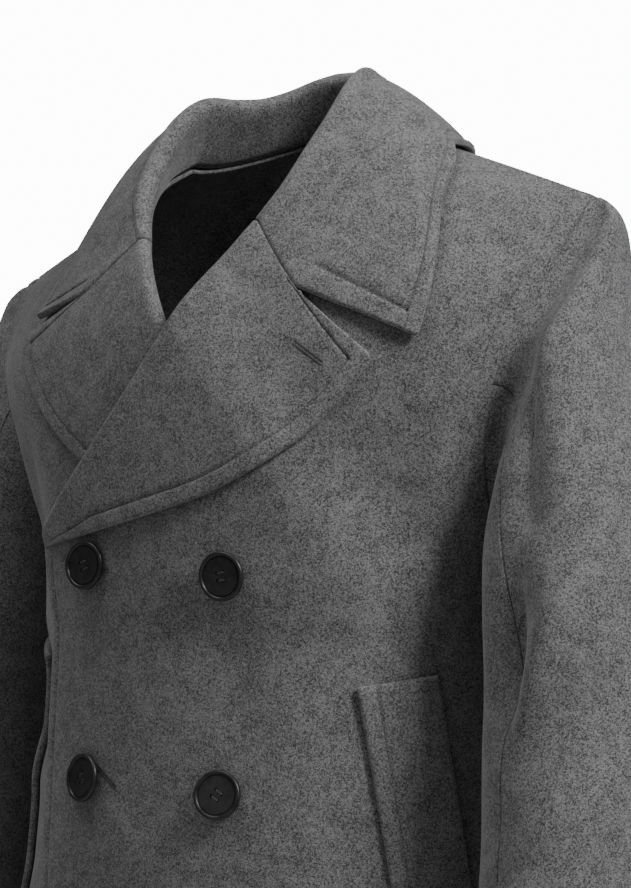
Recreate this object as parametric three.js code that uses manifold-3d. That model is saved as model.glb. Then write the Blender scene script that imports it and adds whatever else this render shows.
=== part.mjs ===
import * as THREE from 'three';
import { mergeVertices } from 'three/addons/utils/BufferGeometryUtils.js';
import Module from 'manifold-3d';

const wasm = await Module();
wasm.setup();

// A double-breasted pea coat, hollow as when it is worn. Millimetres, +Z up. The coat faces -Y and its
// own left side is +X. The origin is the middle of the shoulder line, where the coat is carried.
// Each half is worked out on its own side, with x growing away from the middle, then put in place.

// Cloth and seams
const CLOTH = 3; // wall of one panel
const DOUBLED = 4.6; // wall of a lapel, collar or welt, which is two cloths on a stiffener
const SEAM = 0.3; // space between two pieces along a seam
const ARMHOLE_EASE = 0.9; // more space at the armhole, where each piece turns in straight steps
const REST = 0.7; // space under a lapel, collar or welt that lies on a panel

// Carriage of the shoulders: how far each side rises for each mm out from the middle
const LEAN_AT_SHOULDERS = 0.088;
const LEAN_AT_CHEST = -0.037;
const SHOULDER_LEVEL = -40;
const CHEST_LEVEL = -230;

// The form that the panels hang in, from the hem to the shoulder ridge. Height is at the middle of a
// section, depth is from the shoulder line to the panel, seam is where the panel ends, at its side
// seam or armhole, and slope is how much of the shoulder slope the section follows.
const SHOULDER_SLOPE = 0.42;
const NECK_ROUNDING = 30;
const SQUARENESS = 2.15;
const FRONT = {
  sign: -1,
  sections: [
    { height: -716, halfWidth: 200, depth: 147, seam: 200, slope: 0 },
    { height: -590, halfWidth: 190, depth: 146, seam: 190, slope: 0 },
    { height: -470, halfWidth: 178, depth: 142, seam: 178, slope: 0 },
    { height: -370, halfWidth: 168, depth: 136, seam: 168, slope: 0 },
    { height: -290, halfWidth: 164, depth: 130, seam: 164, slope: 0 },
    { height: -240, halfWidth: 168, depth: 127, seam: 168, slope: 0 },
    { height: -205, halfWidth: 180, depth: 126, seam: 174, slope: 0.02 },
    { height: -169, halfWidth: 194, depth: 124, seam: 180, slope: 0.1 },
    { height: -126, halfWidth: 206, depth: 120, seam: 187, slope: 0.3 },
    { height: -83, halfWidth: 215, depth: 111, seam: 195, slope: 0.55 },
    { height: -42, halfWidth: 222, depth: 93, seam: 204, slope: 0.8 },
    { height: -8, halfWidth: 226, depth: 67, seam: 212, slope: 0.95 },
    { height: 20, halfWidth: 228, depth: 36, seam: 219, slope: 1 },
    { height: 36, halfWidth: 229, depth: 0, seam: 223, slope: 1 },
  ],
};
const BACK = {
  sign: 1,
  sections: [
    { height: -716, halfWidth: 200, depth: 126, seam: 200, slope: 0 },
    { height: -590, halfWidth: 190, depth: 122, seam: 190, slope: 0 },
    { height: -470, halfWidth: 178, depth: 114, seam: 178, slope: 0 },
    { height: -370, halfWidth: 168, depth: 108, seam: 168, slope: 0 },
    { height: -290, halfWidth: 164, depth: 112, seam: 164, slope: 0 },
    { height: -240, halfWidth: 168, depth: 118, seam: 168, slope: 0 },
    { height: -205, halfWidth: 180, depth: 121, seam: 174, slope: 0.02 },
    { height: -169, halfWidth: 194, depth: 123, seam: 181, slope: 0.1 },
    { height: -126, halfWidth: 206, depth: 122, seam: 189, slope: 0.3 },
    { height: -83, halfWidth: 215, depth: 118, seam: 198, slope: 0.55 },
    { height: -38, halfWidth: 222, depth: 109, seam: 206, slope: 0.8 },
    { height: 2, halfWidth: 226, depth: 92, seam: 213, slope: 0.95 },
    { height: 30, halfWidth: 228, depth: 58, seam: 219, slope: 1 },
    { height: 36, halfWidth: 229, depth: 0, seam: 223, slope: 1 },
  ],
};
const UNDERARM_ROW = 5;
const RIDGE_ROW = FRONT.sections.length - 1;

// Fronts: the edge is past the middle by this much, and above the break it turns back as a lapel
const OVERLAP = 99;
const BREAK = { x: -OVERLAP, z: -240 };
const VEE = { x: -4, z: -124 };
const GORGE = { x: 45, z: -46 };
const NECK_WIDTH = 80; // from the middle to where the shoulder seam meets the collar
const NECK_FRONT_DEPTH = 110;
const NECK_BACK_DEPTH = 62;
const COVER_LIFT = 10.6; // how far the left front rides up over the right one and its lapel
const COVER_LOW = 4.2; // the same below the break, where no lapel lies between
const COVER_FADE = 74;

// Lapel and collar ends, on the panel that they lie on. The right lapel lies higher than the left one.
const LEFT = 1;
const RIGHT = -1;
const NOTCH = { [LEFT]: { x: 81, z: -87 }, [RIGHT]: { x: 84, z: -74 } };
const LAPEL_TIP = { [LEFT]: { x: 133, z: -126 }, [RIGHT]: { x: 150, z: -97 } };
const COLLAR_TIP = { [LEFT]: { x: 155, z: -118 }, [RIGHT]: { x: 136, z: -85 } };
const FOLD_BULGE = 1.4; // a lapel stands this much higher at its fold than at its edge
const FOLD_FADE = 26;
// Outer edges of the lapels, from the tip down: each has its upper end, and then they are alike
const LAPEL_TOP = {
  [LEFT]: [LAPEL_TIP[LEFT], { x: 112, z: -151 }, { x: 84, z: -176 }],
  [RIGHT]: [LAPEL_TIP[RIGHT], { x: 127, z: -133 }, { x: 92, z: -168 }],
};
const LAPEL_EDGE = [
  { x: 42, z: -200 },
  { x: 2, z: -214 },
  { x: -38, z: -226 },
  { x: -66, z: -234 },
  BREAK,
];

// Collar, from its front end to the middle of the back: the fold, and the outer edge. The front rows
// place the edge by x and z on the front, the back rows by x and z on the back. Near its right end the
// collar is narrower, so these rows have a right edge of their own.
const COLLAR_STATIONS = [
  { fold: [45, -93, -44], edge: COLLAR_TIP[LEFT], right: COLLAR_TIP[RIGHT], face: FRONT, bow: 0 },
  { fold: [55, -81, -24], edge: { x: 158, z: -93 }, right: { x: 132, z: -72 }, face: FRONT, bow: 1 },
  { fold: [62, -67, 0], edge: { x: 154, z: -68 }, right: { x: 129, z: -58 }, face: FRONT, bow: 2 },
  { fold: [66, -48, 24], edge: { x: 146, z: -43 }, right: { x: 127, z: -40 }, face: FRONT, bow: 4 },
  { fold: [66, -30, 43], edge: { x: 138, z: -20 }, right: { x: 126, z: -20 }, face: FRONT, bow: 5 },
  { fold: [63, -10, 55], edge: { x: 124, z: -1 }, face: FRONT, bow: 5 },
  { fold: [55, 12, 55], edge: { x: 92, z: -3 }, face: BACK, bow: 4 },
  { fold: [46, 30, 56], edge: { x: 69, z: -7 }, face: BACK, bow: 4 },
  { fold: [33, 42, 60], edge: { x: 49, z: -8 }, face: BACK, bow: 5 },
  { fold: [17, 49, 65], edge: { x: 27, z: -8 }, face: BACK, bow: 5 },
  { fold: [0, 51, 67], edge: { x: 0, z: -8 }, face: BACK, bow: 5 },
];
const STAND_FOLD_RADIUS = 5.5;
const COLLAR_EASE = 1.4; // how much higher than at rest the collar rides over the shoulders
const GORGE_GAP = 0.55; // between the end of the collar and the lapel at the top of the roll

// Arm sections, from the armhole to the cuff: centre, half widths across and fore, and rise, which is
// how much higher the outer side of a section is than its centre
const ARM_SECTIONS = [
  { x: 213, y: -7, z: -170, across: 32, fore: 63, rise: 70 },
  { x: 218, y: -15, z: -208, across: 38, fore: 71, rise: 56 },
  { x: 229, y: -23, z: -257, across: 45, fore: 76, rise: 34 },
  { x: 238, y: -31, z: -322, across: 50, fore: 75, rise: 16 },
  { x: 243, y: -42, z: -400, across: 51, fore: 71, rise: 4 },
  { x: 246, y: -58, z: -480, across: 49, fore: 67, rise: 0 },
  { x: 249, y: -78, z: -562, across: 46, fore: 62, rise: 0 },
  { x: 251, y: -99, z: -644, across: 44, fore: 57, rise: 0 },
];
const ARM_ROUND = 380; // cloth round an arm
// Folds of a sleeve: start and end as a distance round the arm and a level, and how far each stands out
const SLEEVE_FOLDS = [
  { from: [78, -125], to: [84, -235], out: -11, width: 27 },
  { from: [84, -235], to: [118, -325], out: -9, width: 21 },
  { from: [52, -235], to: [104, -345], out: 5, width: 14 },
  { from: [30, -355], to: [114, -470], out: 5, width: 20 },
  { from: [38, -300], to: [137, -420], out: -5, width: 24 },
  { from: [236, -345], to: [319, -420], out: -5, width: 24 },
  { from: [251, -400], to: [342, -470], out: 4, width: 20 },
];
const SLEEVE_RINGS = 21;
const SLEEVE_HALF_STEPS = 10;
const SLEEVE_HEAD = 9; // how far the cloth runs straight on from the armhole, on the shoulder
const SLEEVE_UNDER = 4; // and under the arm
const CAP_SHARE = 0.3; // where the sleeve head is fullest, between the armhole and the first section
const CAP_OUT = 4; // and by how much
const FRONT_SLEEVE_SEAM = 0.3; // turn from the top of the shoulder, forward round the arm
const BACK_SLEEVE_SEAM = 0.72;
const UNDERARM_EASE = 1.6; // more space under the arm, where the armhole turns a corner
const TWISTED_RINGS = 7; // next to the armhole the seam edges twist, so each stands back by more
const TWIST_EASE = 1.3;

// Hand-warmer pocket welts, slanting back as they go down
const WELT = { x: 119, z: -311, width: 46, length: 172, lean: 0.17 };

// Buttons: two columns and three levels
const BUTTON_RADIUS = 15;
const BUTTON_THICKNESS = 4.4;
const BUTTON_COLUMN = 50;
const BUTTON_LEVELS = [-249, -379, -509];
const SHANK_RADIUS = 3;
const SHANK_LENGTH = 2.2;
const HOLE_RADIUS = 1.2;
const HOLE_OFFSET = 2.1;

// Colours
const WOOL = { color: 0x6f6d6f, roughness: 0.95, metalness: 0 };
const WOOL_FOLDED = { color: 0x757375, roughness: 0.95, metalness: 0 };
const HORN = { color: 0x1d1c1e, roughness: 0.45, metalness: 0 };

function smoothStep(low, high, value) {
  const share = Math.min(Math.max((value - low) / (high - low), 0), 1);
  return share * share * (3 - 2 * share);
}

function mix(from, to, share) {
  return from + (to - from) * share;
}

// Value of one column of a table at a row that may lie between two rows, on a smooth curve
function tableValue(table, name, row) {
  const last = table.length - 1;
  const low = Math.min(Math.max(Math.floor(row), 0), last - 1);
  const part = row - low;
  const [before, here, next, after] = [low - 1, low, low + 1, low + 2].map(
    (index) => table[Math.min(Math.max(index, 0), last)][name],
  );
  const bend = 2 * before - 5 * here + 4 * next - after;
  const twist = 3 * (here - next) + after - before;
  return here + 0.5 * part * (next - before + part * (bend + part * twist));
}

function shoulderDrop(x) {
  return SHOULDER_SLOPE * (Math.hypot(x, NECK_ROUNDING) - NECK_ROUNDING);
}

function signedPower(value, power) {
  return Math.sign(value) * Math.abs(value) ** power;
}

// Point of the form, by its row and its angle from the middle of the panel
function formPoint(face, row, angle) {
  const { sections, sign } = face;
  const x = tableValue(sections, 'halfWidth', row) * signedPower(Math.sin(angle), 2 / SQUARENESS);
  const y = sign * tableValue(sections, 'depth', row) * signedPower(Math.cos(angle), 2 / SQUARENESS);
  const z = tableValue(sections, 'height', row) - tableValue(sections, 'slope', row) * shoulderDrop(x);
  return new THREE.Vector3(x, y, z);
}

function formNormal(face, row, angle) {
  const step = 0.02;
  const across = formPoint(face, row, angle + step).sub(formPoint(face, row, angle - step));
  const up = formPoint(face, row + step, angle).sub(formPoint(face, row - step, angle));
  return across.cross(up).multiplyScalar(-face.sign).normalize();
}

function angleAt(face, row, x) {
  const share = x / tableValue(face.sections, 'halfWidth', row);
  return Math.asin(Math.min(Math.max(signedPower(share, SQUARENESS / 2), -1), 1));
}

// Row of the form that passes through a height at a distance x from the middle
function rowAt(face, x, z) {
  let low = 0;
  let high = RIDGE_ROW;
  for (let turn = 0; turn < 40; turn += 1) {
    const row = (low + high) / 2;
    const { sections } = face;
    const drop = tableValue(sections, 'slope', row) * shoulderDrop(x);
    if (tableValue(sections, 'height', row) - drop < z) {
      low = row;
    } else {
      high = row;
    }
  }
  return (low + high) / 2;
}

// A place on the form: its point, the way out of the cloth, and the same point moved out by a lift
function placeOnForm(face, x, z) {
  const row = rowAt(face, x, z);
  const angle = angleAt(face, row, x);
  const normal = formNormal(face, row, angle);
  const point = formPoint(face, row, angle);
  return { point, normal, raised: (lift) => point.clone().addScaledVector(normal, lift) };
}

// The lean of the shoulders lifts one side and lowers the other; the arms move with the shoulders
function lean(point, side) {
  const share = smoothStep(CHEST_LEVEL, SHOULDER_LEVEL, point.z);
  const rise = point.x * side * mix(LEAN_AT_CHEST, LEAN_AT_SHOULDERS, share);
  return new THREE.Vector3(point.x, point.y, point.z + rise);
}

function leanArm(point, side) {
  return new THREE.Vector3(point.x, point.y, point.z + point.x * side * LEAN_AT_SHOULDERS);
}

function mirror(point, side) {
  return new THREE.Vector3(point.x * side, point.y, point.z);
}

function settle(point, side) {
  return mirror(lean(point, side), side);
}

// A sheet is a list of corners, each with a point on either face of the cloth, and triangles over them
function newSheet() {
  return { outside: [], inside: [], faces: [] };
}

function addCorner(sheet, middle, normal, wall) {
  sheet.outside.push(middle.clone().addScaledVector(normal, wall / 2));
  sheet.inside.push(middle.clone().addScaledVector(normal, -wall / 2));
  return sheet.outside.length - 1;
}

function addFace(sheet, a, b, c) {
  if (a !== b && b !== c && c !== a) {
    sheet.faces.push([a, b, c]);
  }
}

// Faces between rows of corners: rows go up and columns go right, seen from outside the cloth
function addGrid(sheet, rows) {
  for (let row = 1; row < rows.length; row += 1) {
    for (let step = 1; step < rows[row].length; step += 1) {
      const [low, high] = [rows[row - 1], rows[row]];
      addFace(sheet, low[step - 1], low[step], high[step]);
      addFace(sheet, low[step - 1], high[step], high[step - 1]);
    }
  }
}

// Closes a sheet into a solid wall: both faces, and a strip along every open edge
function wallGeometry(sheet, side, place) {
  const put = (point) => (place ? place(point, side) : point);
  const points = [...sheet.outside.map(put), ...sheet.inside.map(put)];
  const count = sheet.outside.length;
  const edges = new Set(sheet.faces.flatMap(([a, b, c]) => [`${a} ${b}`, `${b} ${c}`, `${c} ${a}`]));
  const faces = [];
  for (const [a, b, c] of sheet.faces) {
    faces.push([a, b, c], [c + count, b + count, a + count]);
    for (const [from, to] of [[a, b], [b, c], [c, a]]) {
      if (!edges.has(`${to} ${from}`)) {
        faces.push([to, from, from + count], [to, from + count, to + count]);
      }
    }
  }
  const mirrored = place && side < 0;
  const order = mirrored ? faces.map(([a, b, c]) => [c, b, a]) : faces;
  const geometry = new THREE.BufferGeometry();
  const positions = points.flatMap((point) => point.toArray());
  geometry.setAttribute('position', new THREE.Float32BufferAttribute(positions, 3));
  geometry.setIndex(order.flat());
  geometry.computeVertexNormals();
  return geometry;
}

function solid(name, geometry, look) {
  const mesh = new THREE.Mesh(geometry, new THREE.MeshStandardMaterial(look));
  mesh.name = name;
  return mesh;
}

// Fronts and their lapels

const ROLL = new THREE.SplineCurve(
  [BREAK, { x: -51, z: -185 }, VEE, { x: 17, z: -91 }, GORGE].map(({ x, z }) => new THREE.Vector2(x, z)),
);
const LAPEL_ROWS = 13;
const BODY_LEVELS = [
  -716, -680, -640, -596, -550, -504, -458, -416, -376, -338, -304, -282, -265, -252, BREAK.z,
];
const NECK_ROWS = 6;
const FRONT_STEPS = 11;

// How far the middle of a front's cloth lies from the form. The left front rides over the right one.
function frontLift(side, x, z) {
  const flat = CLOTH / 2;
  if (side < 0) {
    return flat;
  }
  const above = smoothStep(BREAK.z - 60, BREAK.z - 5, z);
  const share = Math.min(Math.max((z - BREAK.z) / (GORGE.z - BREAK.z), 0), 1);
  const rollOfOther = -mix(BREAK.x, GORGE.x, share);
  const covered = 1 - smoothStep(rollOfOther + 8, rollOfOther + COVER_FADE, x);
  return flat + mix(COVER_LOW, COVER_LIFT, above) * covered;
}

function lapelRest() {
  return CLOTH / 2 + REST + DOUBLED / 2;
}

function lapelLift(side, x, z, fromFold) {
  return frontLift(side, x, z) + lapelRest() + FOLD_BULGE * Math.exp(-fromFold / FOLD_FADE);
}

// Neckline of a panel: its distance from the middle at a depth from the shoulder line
function necklineX(depth, neckDepth) {
  return NECK_WIDTH * Math.sqrt(Math.max(1 - (depth / neckDepth) ** 2, 0));
}

// Inner ends of the rows of a front, from the hem to the neck point: row of the form, x and z
function frontInnerEnds() {
  const straight = BODY_LEVELS.map((z) => ({ x: BREAK.x, z }));
  const folded = [];
  for (let step = 1; step <= LAPEL_ROWS; step += 1) {
    const at = ROLL.getPoint(step / LAPEL_ROWS);
    folded.push({ x: at.x, z: at.y });
  }
  const ends = [...straight, ...folded].map(({ x, z }) => ({ x, z, row: rowAt(FRONT, x, z) }));
  const start = ends[ends.length - 1].row;
  for (let step = 1; step <= NECK_ROWS; step += 1) {
    const row = mix(start, RIDGE_ROW, step / NECK_ROWS);
    const depth = tableValue(FRONT.sections, 'depth', row);
    ends.push({ x: step === NECK_ROWS ? NECK_WIDTH : necklineX(depth, NECK_FRONT_DEPTH), row });
  }
  return ends;
}

function seamAngle(face, row) {
  return row <= UNDERARM_ROW ? Math.PI / 2 : angleAt(face, row, tableValue(face.sections, 'seam', row));
}

// One row of corners of a panel, from its inner end to its seam. The ends stop short of the seams.
function panelRow(sheet, face, row, innerX, steps, liftAt, wall) {
  const inner = angleAt(face, row, innerX);
  const outer = seamAngle(face, row);
  const corners = [];
  for (let step = 0; step <= steps; step += 1) {
    const angle = mix(inner, outer, step / steps);
    const middle = formPoint(face, row, angle);
    const normal = formNormal(face, row, angle);
    middle.addScaledVector(normal, liftAt(middle.x, middle.z));
    const onSideSeam = step === steps && row <= UNDERARM_ROW;
    if (onSideSeam || row >= RIDGE_ROW) {
      normal.y = 0;
      normal.normalize();
      middle.y = (face.sign * SEAM) / 2;
    }
    corners.push(addCorner(sheet, middle, normal, wall));
  }
  return corners;
}

// A rib of a lapel or collar: straight from the fold to the knee, and straight on to the edge
function ribPoint(from, knee, to, share, kneeShare) {
  const [start, end, part] = share < kneeShare
    ? [from, knee, share / kneeShare]
    : [knee, to, (share - kneeShare) / (1 - kneeShare)];
  return { x: mix(start.x, end.x, part), z: mix(start.z, end.z, part) };
}

const KNEE_SHARE = 0.5;
const RIB_STEPS = 8;
const BEND_STEPS = 4;

// Corners round a fold: half a circle from the lower layer to the upper one
function bendCorners(sheet, centre, radius, outward, ahead, fromWall, toWall) {
  const corners = [];
  for (let step = 1; step <= BEND_STEPS; step += 1) {
    const turn = (Math.PI * step) / BEND_STEPS;
    const middle = centre.clone();
    middle.addScaledVector(outward, -radius * Math.cos(turn));
    middle.addScaledVector(ahead, radius * Math.sin(turn));
    const normal = outward.clone().multiplyScalar(Math.cos(turn)).addScaledVector(ahead, -Math.sin(turn));
    corners.push(addCorner(sheet, middle, normal, mix(fromWall, toWall, step / BEND_STEPS)));
  }
  return corners;
}

function lapelEdgeCurve(side) {
  const corners = [...LAPEL_TOP[side], ...LAPEL_EDGE];
  return new THREE.SplineCurve(corners.map(({ x, z }) => new THREE.Vector2(x, z)).reverse());
}

// Way that a fold of the lapel points, off the panel and square to the roll line
function foldAhead(normal, share) {
  const along = ROLL.getTangent(share);
  return normal.clone().cross(new THREE.Vector3(along.x, 0, along.y)).normalize();
}

function lapelRow(sheet, side, roll, share, rollCorner) {
  const edge = lapelEdgeCurve(side).getPointAt(share ** 0.9);
  const to = { x: edge.x, z: edge.y };
  const place = placeOnForm(FRONT, roll.x, roll.z);
  const ahead = foldAhead(place.normal, share);
  const low = frontLift(side, roll.x, roll.z);
  const high = lapelLift(side, roll.x, roll.z, 0);
  const centre = place.raised((low + high) / 2);
  const bend = bendCorners(sheet, centre, (high - low) / 2, place.normal, ahead, CLOTH, DOUBLED);
  const straight = (part) => ({ x: mix(roll.x, to.x, part), z: mix(roll.z, to.z, part) });
  const knee = straight(KNEE_SHARE);
  const weight = share ** 4;
  knee.x = mix(knee.x, NOTCH[side].x, weight);
  knee.z = mix(knee.z, NOTCH[side].z, weight);
  const rib = [];
  for (let step = 1; step <= RIB_STEPS; step += 1) {
    const at = ribPoint(roll, knee, to, step / RIB_STEPS, KNEE_SHARE);
    const spot = placeOnForm(FRONT, at.x, at.z);
    const lift = lapelLift(side, at.x, at.z, Math.hypot(at.x - roll.x, at.z - roll.z));
    rib.push(addCorner(sheet, spot.raised(lift), spot.normal.clone().negate(), DOUBLED));
  }
  return [...bend, ...rib].reverse().concat([rollCorner]);
}

function front(side) {
  const sheet = newSheet();
  const ends = frontInnerEnds();
  const liftAt = (x, z) => frontLift(side, x, z);
  const rows = ends.map(({ x, row }) => panelRow(sheet, FRONT, row, x, FRONT_STEPS, liftAt, CLOTH));
  addGrid(sheet, rows);
  const first = BODY_LEVELS.length - 1;
  const breakCorner = rows[first][0];
  const lapel = [new Array(BEND_STEPS + RIB_STEPS + 1).fill(breakCorner)];
  for (let step = 1; step <= LAPEL_ROWS; step += 1) {
    const index = first + step;
    lapel.push(lapelRow(sheet, side, ends[index], step / LAPEL_ROWS, rows[index][0]));
  }
  addGrid(sheet, lapel);
  return wallGeometry(sheet, side, settle);
}

// Backs

const BACK_ROWS_BELOW = 10; // rows of corners from the hem to the underarm
const BACK_ROWS_ABOVE = 13; // and from there to the neckline
const BACK_NECK_ROWS = 6;
const BACK_STEPS = 9;

function back(side) {
  const sheet = newSheet();
  const neckRow = rowAtDepth(BACK, NECK_BACK_DEPTH, RIDGE_ROW - 3);
  const ends = [];
  for (let step = 0; step < BACK_ROWS_BELOW; step += 1) {
    ends.push({ row: (UNDERARM_ROW * step) / BACK_ROWS_BELOW, x: SEAM / 2 });
  }
  for (let step = 0; step <= BACK_ROWS_ABOVE; step += 1) {
    ends.push({ row: mix(UNDERARM_ROW, neckRow, step / BACK_ROWS_ABOVE), x: SEAM / 2 });
  }
  for (let step = 1; step <= BACK_NECK_ROWS; step += 1) {
    const row = mix(neckRow, RIDGE_ROW, step / BACK_NECK_ROWS);
    const depth = tableValue(BACK.sections, 'depth', row);
    ends.push({ row, x: step === BACK_NECK_ROWS ? NECK_WIDTH : necklineX(depth, NECK_BACK_DEPTH) });
  }
  // Seen from outside, the back runs from its side seam to the middle, so its rows are turned round
  const rows = ends.map(({ row, x }) =>
    panelRow(sheet, BACK, row, x, BACK_STEPS, () => CLOTH / 2, CLOTH).reverse(),
  );
  addGrid(sheet, rows);
  return wallGeometry(sheet, side, settle);
}

function rowAtDepth(face, depth, from) {
  let low = from;
  let high = RIDGE_ROW;
  for (let turn = 0; turn < 40; turn += 1) {
    const row = (low + high) / 2;
    if (tableValue(face.sections, 'depth', row) > depth) {
      low = row;
    } else {
      high = row;
    }
  }
  return (low + high) / 2;
}

// Collar

const STAND_STEPS = 3;
const HALF_COLLAR_STEPS = 16;
const FIRST_STATION = 0.75; // the first place past the gorge
const LAST_STATION = COLLAR_STATIONS.length - 1;
const SHOULDER_STATION = 4.7; // where the shoulder seam meets the collar
const FRONT_STATIONS = 3; // over these the collar turns from lying on the front to standing at the neck

// Points all over the panels under the collar, to keep the collar clear of them
const UNDER_COLLAR = [FRONT, BACK].flatMap((face) => {
  const spots = [];
  for (let row = 7; row <= RIDGE_ROW; row += 0.12) {
    for (let angle = 0; angle <= Math.PI / 2; angle += 0.03) {
      spots.push({ point: formPoint(face, row, angle), normal: formNormal(face, row, angle) });
    }
  }
  return spots;
});

function keepClear(point, side) {
  let nearest = UNDER_COLLAR[0];
  for (const spot of UNDER_COLLAR) {
    if (spot.point.distanceToSquared(point) < nearest.point.distanceToSquared(point)) {
      nearest = spot;
    }
  }
  const height = point.clone().sub(nearest.point).dot(nearest.normal);
  const missing = frontLift(side, point.x, point.z) + lapelRest() + COLLAR_EASE - height;
  return missing > 0 ? point.clone().addScaledVector(nearest.normal, missing) : point;
}

function curveAt(points, place) {
  const axes = ['x', 'y', 'z'].map((axis) => tableValue(points, axis, place));
  return new THREE.Vector3(...axes);
}

// Where the stand is sewn to the panels: along the fronts from the gorge, then round the back
function neckSeam(place) {
  const onFront = place <= SHOULDER_STATION;
  const face = onFront ? FRONT : BACK;
  const low = onFront ? rowAt(FRONT, GORGE.x, GORGE.z) : rowAtDepth(BACK, NECK_BACK_DEPTH, RIDGE_ROW - 3);
  const share = onFront
    ? place / SHOULDER_STATION
    : (LAST_STATION - place) / (LAST_STATION - SHOULDER_STATION);
  const row = mix(low, RIDGE_ROW, share);
  const depth = tableValue(face.sections, 'depth', row);
  const x = place === 0 ? GORGE.x : necklineX(depth, onFront ? NECK_FRONT_DEPTH : NECK_BACK_DEPTH);
  const angle = angleAt(face, row, Math.min(x, NECK_WIDTH));
  const normal = formNormal(face, row, angle);
  return { point: formPoint(face, row, angle).addScaledVector(normal, CLOTH / 2), normal };
}

// One station of the collar: its points from the neck seam, up the stand, over the fold, down the fall
function collarStation(side, place, folds, edges) {
  const gorge = placeOnForm(FRONT, GORGE.x, GORGE.z);
  const low = frontLift(side, GORGE.x, GORGE.z);
  const high = lapelLift(side, GORGE.x, GORGE.z, 0);
  const fade = Math.max(1 - place / FRONT_STATIONS, 0) ** 2;
  const tableFold = curveAt(folds, place);
  const along = curveAt(folds, place + 0.05).sub(curveAt(folds, place - 0.05)).normalize();
  const rollAlong = foldAhead(gorge.normal, 1).cross(gorge.normal);
  along.multiplyScalar(1 - fade).addScaledVector(rollAlong, fade).normalize();
  const radial = new THREE.Vector3(tableFold.x, tableFold.y, 0).normalize();
  const outward = radial.multiplyScalar(1 - fade).addScaledVector(gorge.normal, fade);
  outward.addScaledVector(along, -outward.dot(along)).normalize();
  const ahead = outward.clone().cross(along).normalize();
  const radius = mix(STAND_FOLD_RADIUS, (high - low) / 2, fade);
  const centre = tableFold.clone().addScaledVector(ahead, -radius * (1 - fade));
  centre.addScaledVector(gorge.raised((low + high) / 2).sub(folds[0]), fade);
  centre.addScaledVector(along, GORGE_GAP * fade);

  const standTop = centre.clone().addScaledVector(outward, -radius);
  const seam = neckSeam(place);
  const rise = standTop.clone().sub(seam.point).normalize();
  const upright = Math.abs(rise.dot(seam.normal));
  const start = seam.point.clone().addScaledVector(rise, SEAM + (CLOTH + DOUBLED) * 0.5 * upright);
  const atGorge = place === 0;
  const corners = [];
  for (let step = 0; step < STAND_STEPS; step += 1) {
    const point = atGorge ? standTop : start.clone().lerp(standTop, step / STAND_STEPS);
    corners.push({ point });
  }
  for (let step = 0; step <= BEND_STEPS; step += 1) {
    const turn = (Math.PI * step) / BEND_STEPS;
    const normal = outward.clone().multiplyScalar(-Math.cos(turn)).addScaledVector(ahead, Math.sin(turn));
    corners.push({ point: centre.clone().addScaledVector(normal, radius), normal });
  }
  const fallTop = centre.clone().addScaledVector(outward, radius);
  const edge = curveAt(edges, place);
  const bow = tableValue(COLLAR_STATIONS, 'bow', place);
  const middle = fallTop.clone().lerp(edge, 0.5);
  middle.addScaledVector(outward, bow).addScaledVector(ahead, bow / 2);
  const control = middle.multiplyScalar(2).addScaledVector(fallTop, -0.5).addScaledVector(edge, -0.5);
  const fall = new THREE.QuadraticBezierCurve3(fallTop, control, edge);
  const straightness = Math.max(1 - place / 2, 0) ** 2;
  for (let step = 1; step <= RIB_STEPS; step += 1) {
    const share = step / RIB_STEPS;
    const at = ribPoint(GORGE, NOTCH[side], COLLAR_TIP[side], share, KNEE_SHARE);
    const lift = lapelLift(side, at.x, at.z, Math.hypot(at.x - GORGE.x, at.z - GORGE.z));
    const spot = placeOnForm(FRONT, at.x, at.z);
    const laid = spot.raised(lift).addScaledVector(along, GORGE_GAP);
    if (atGorge) {
      corners.push({ point: laid, normal: spot.normal });
    } else {
      const point = keepClear(fall.getPoint(share), side);
      const moved = laid.add(edge).sub(edges[0]);
      corners.push({ point: point.lerp(keepClear(moved, side), straightness) });
    }
  }
  return corners;
}

function collarHalf(side) {
  const folds = COLLAR_STATIONS.map(({ fold }) => new THREE.Vector3(...fold));
  const edges = COLLAR_STATIONS.map(({ edge, right, face }) => {
    const { x, z } = side === RIGHT && right ? right : edge;
    return placeOnForm(face, x, z).raised(frontLift(side, x, z) + lapelRest() + COLLAR_EASE);
  });
  const stations = [];
  for (let step = 0; step <= HALF_COLLAR_STEPS; step += 1) {
    const place = step && mix(FIRST_STATION, LAST_STATION, (step - 1) / (HALF_COLLAR_STEPS - 1));
    const corners = collarStation(side, place, folds, edges);
    stations.push(corners.map(({ point, normal }) => ({
      point: settle(point, side),
      normal: normal && mirror(normal, side),
    })));
  }
  return stations;
}

function differenceAt(list, index) {
  const next = list[Math.min(index + 1, list.length - 1)];
  return next.clone().sub(list[Math.max(index - 1, 0)]);
}

function collar() {
  const left = collarHalf(1);
  const right = collarHalf(-1);
  for (const [step, corner] of left[HALF_COLLAR_STEPS].entries()) {
    corner.point.lerp(right[HALF_COLLAR_STEPS][step].point, 0.5);
    corner.point.x = 0;
  }
  const grid = [...left, ...right.slice(0, HALF_COLLAR_STEPS).reverse()];
  const sheet = newSheet();
  const corners = grid.map((line, station) => line.map(({ point, normal }, step) => {
    const along = differenceAt(line.map((corner) => corner.point), step);
    const across = differenceAt(grid.map((other) => other[step].point), station);
    return addCorner(sheet, point, normal || along.cross(across).normalize(), DOUBLED);
  }));
  // The stand has no height at either gorge, so its corners there are one
  for (const line of [corners[0], corners[corners.length - 1]]) {
    line.fill(line[STAND_STEPS], 0, STAND_STEPS);
  }
  addGrid(sheet, corners);
  return wallGeometry(sheet);
}

// Sleeves

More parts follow.
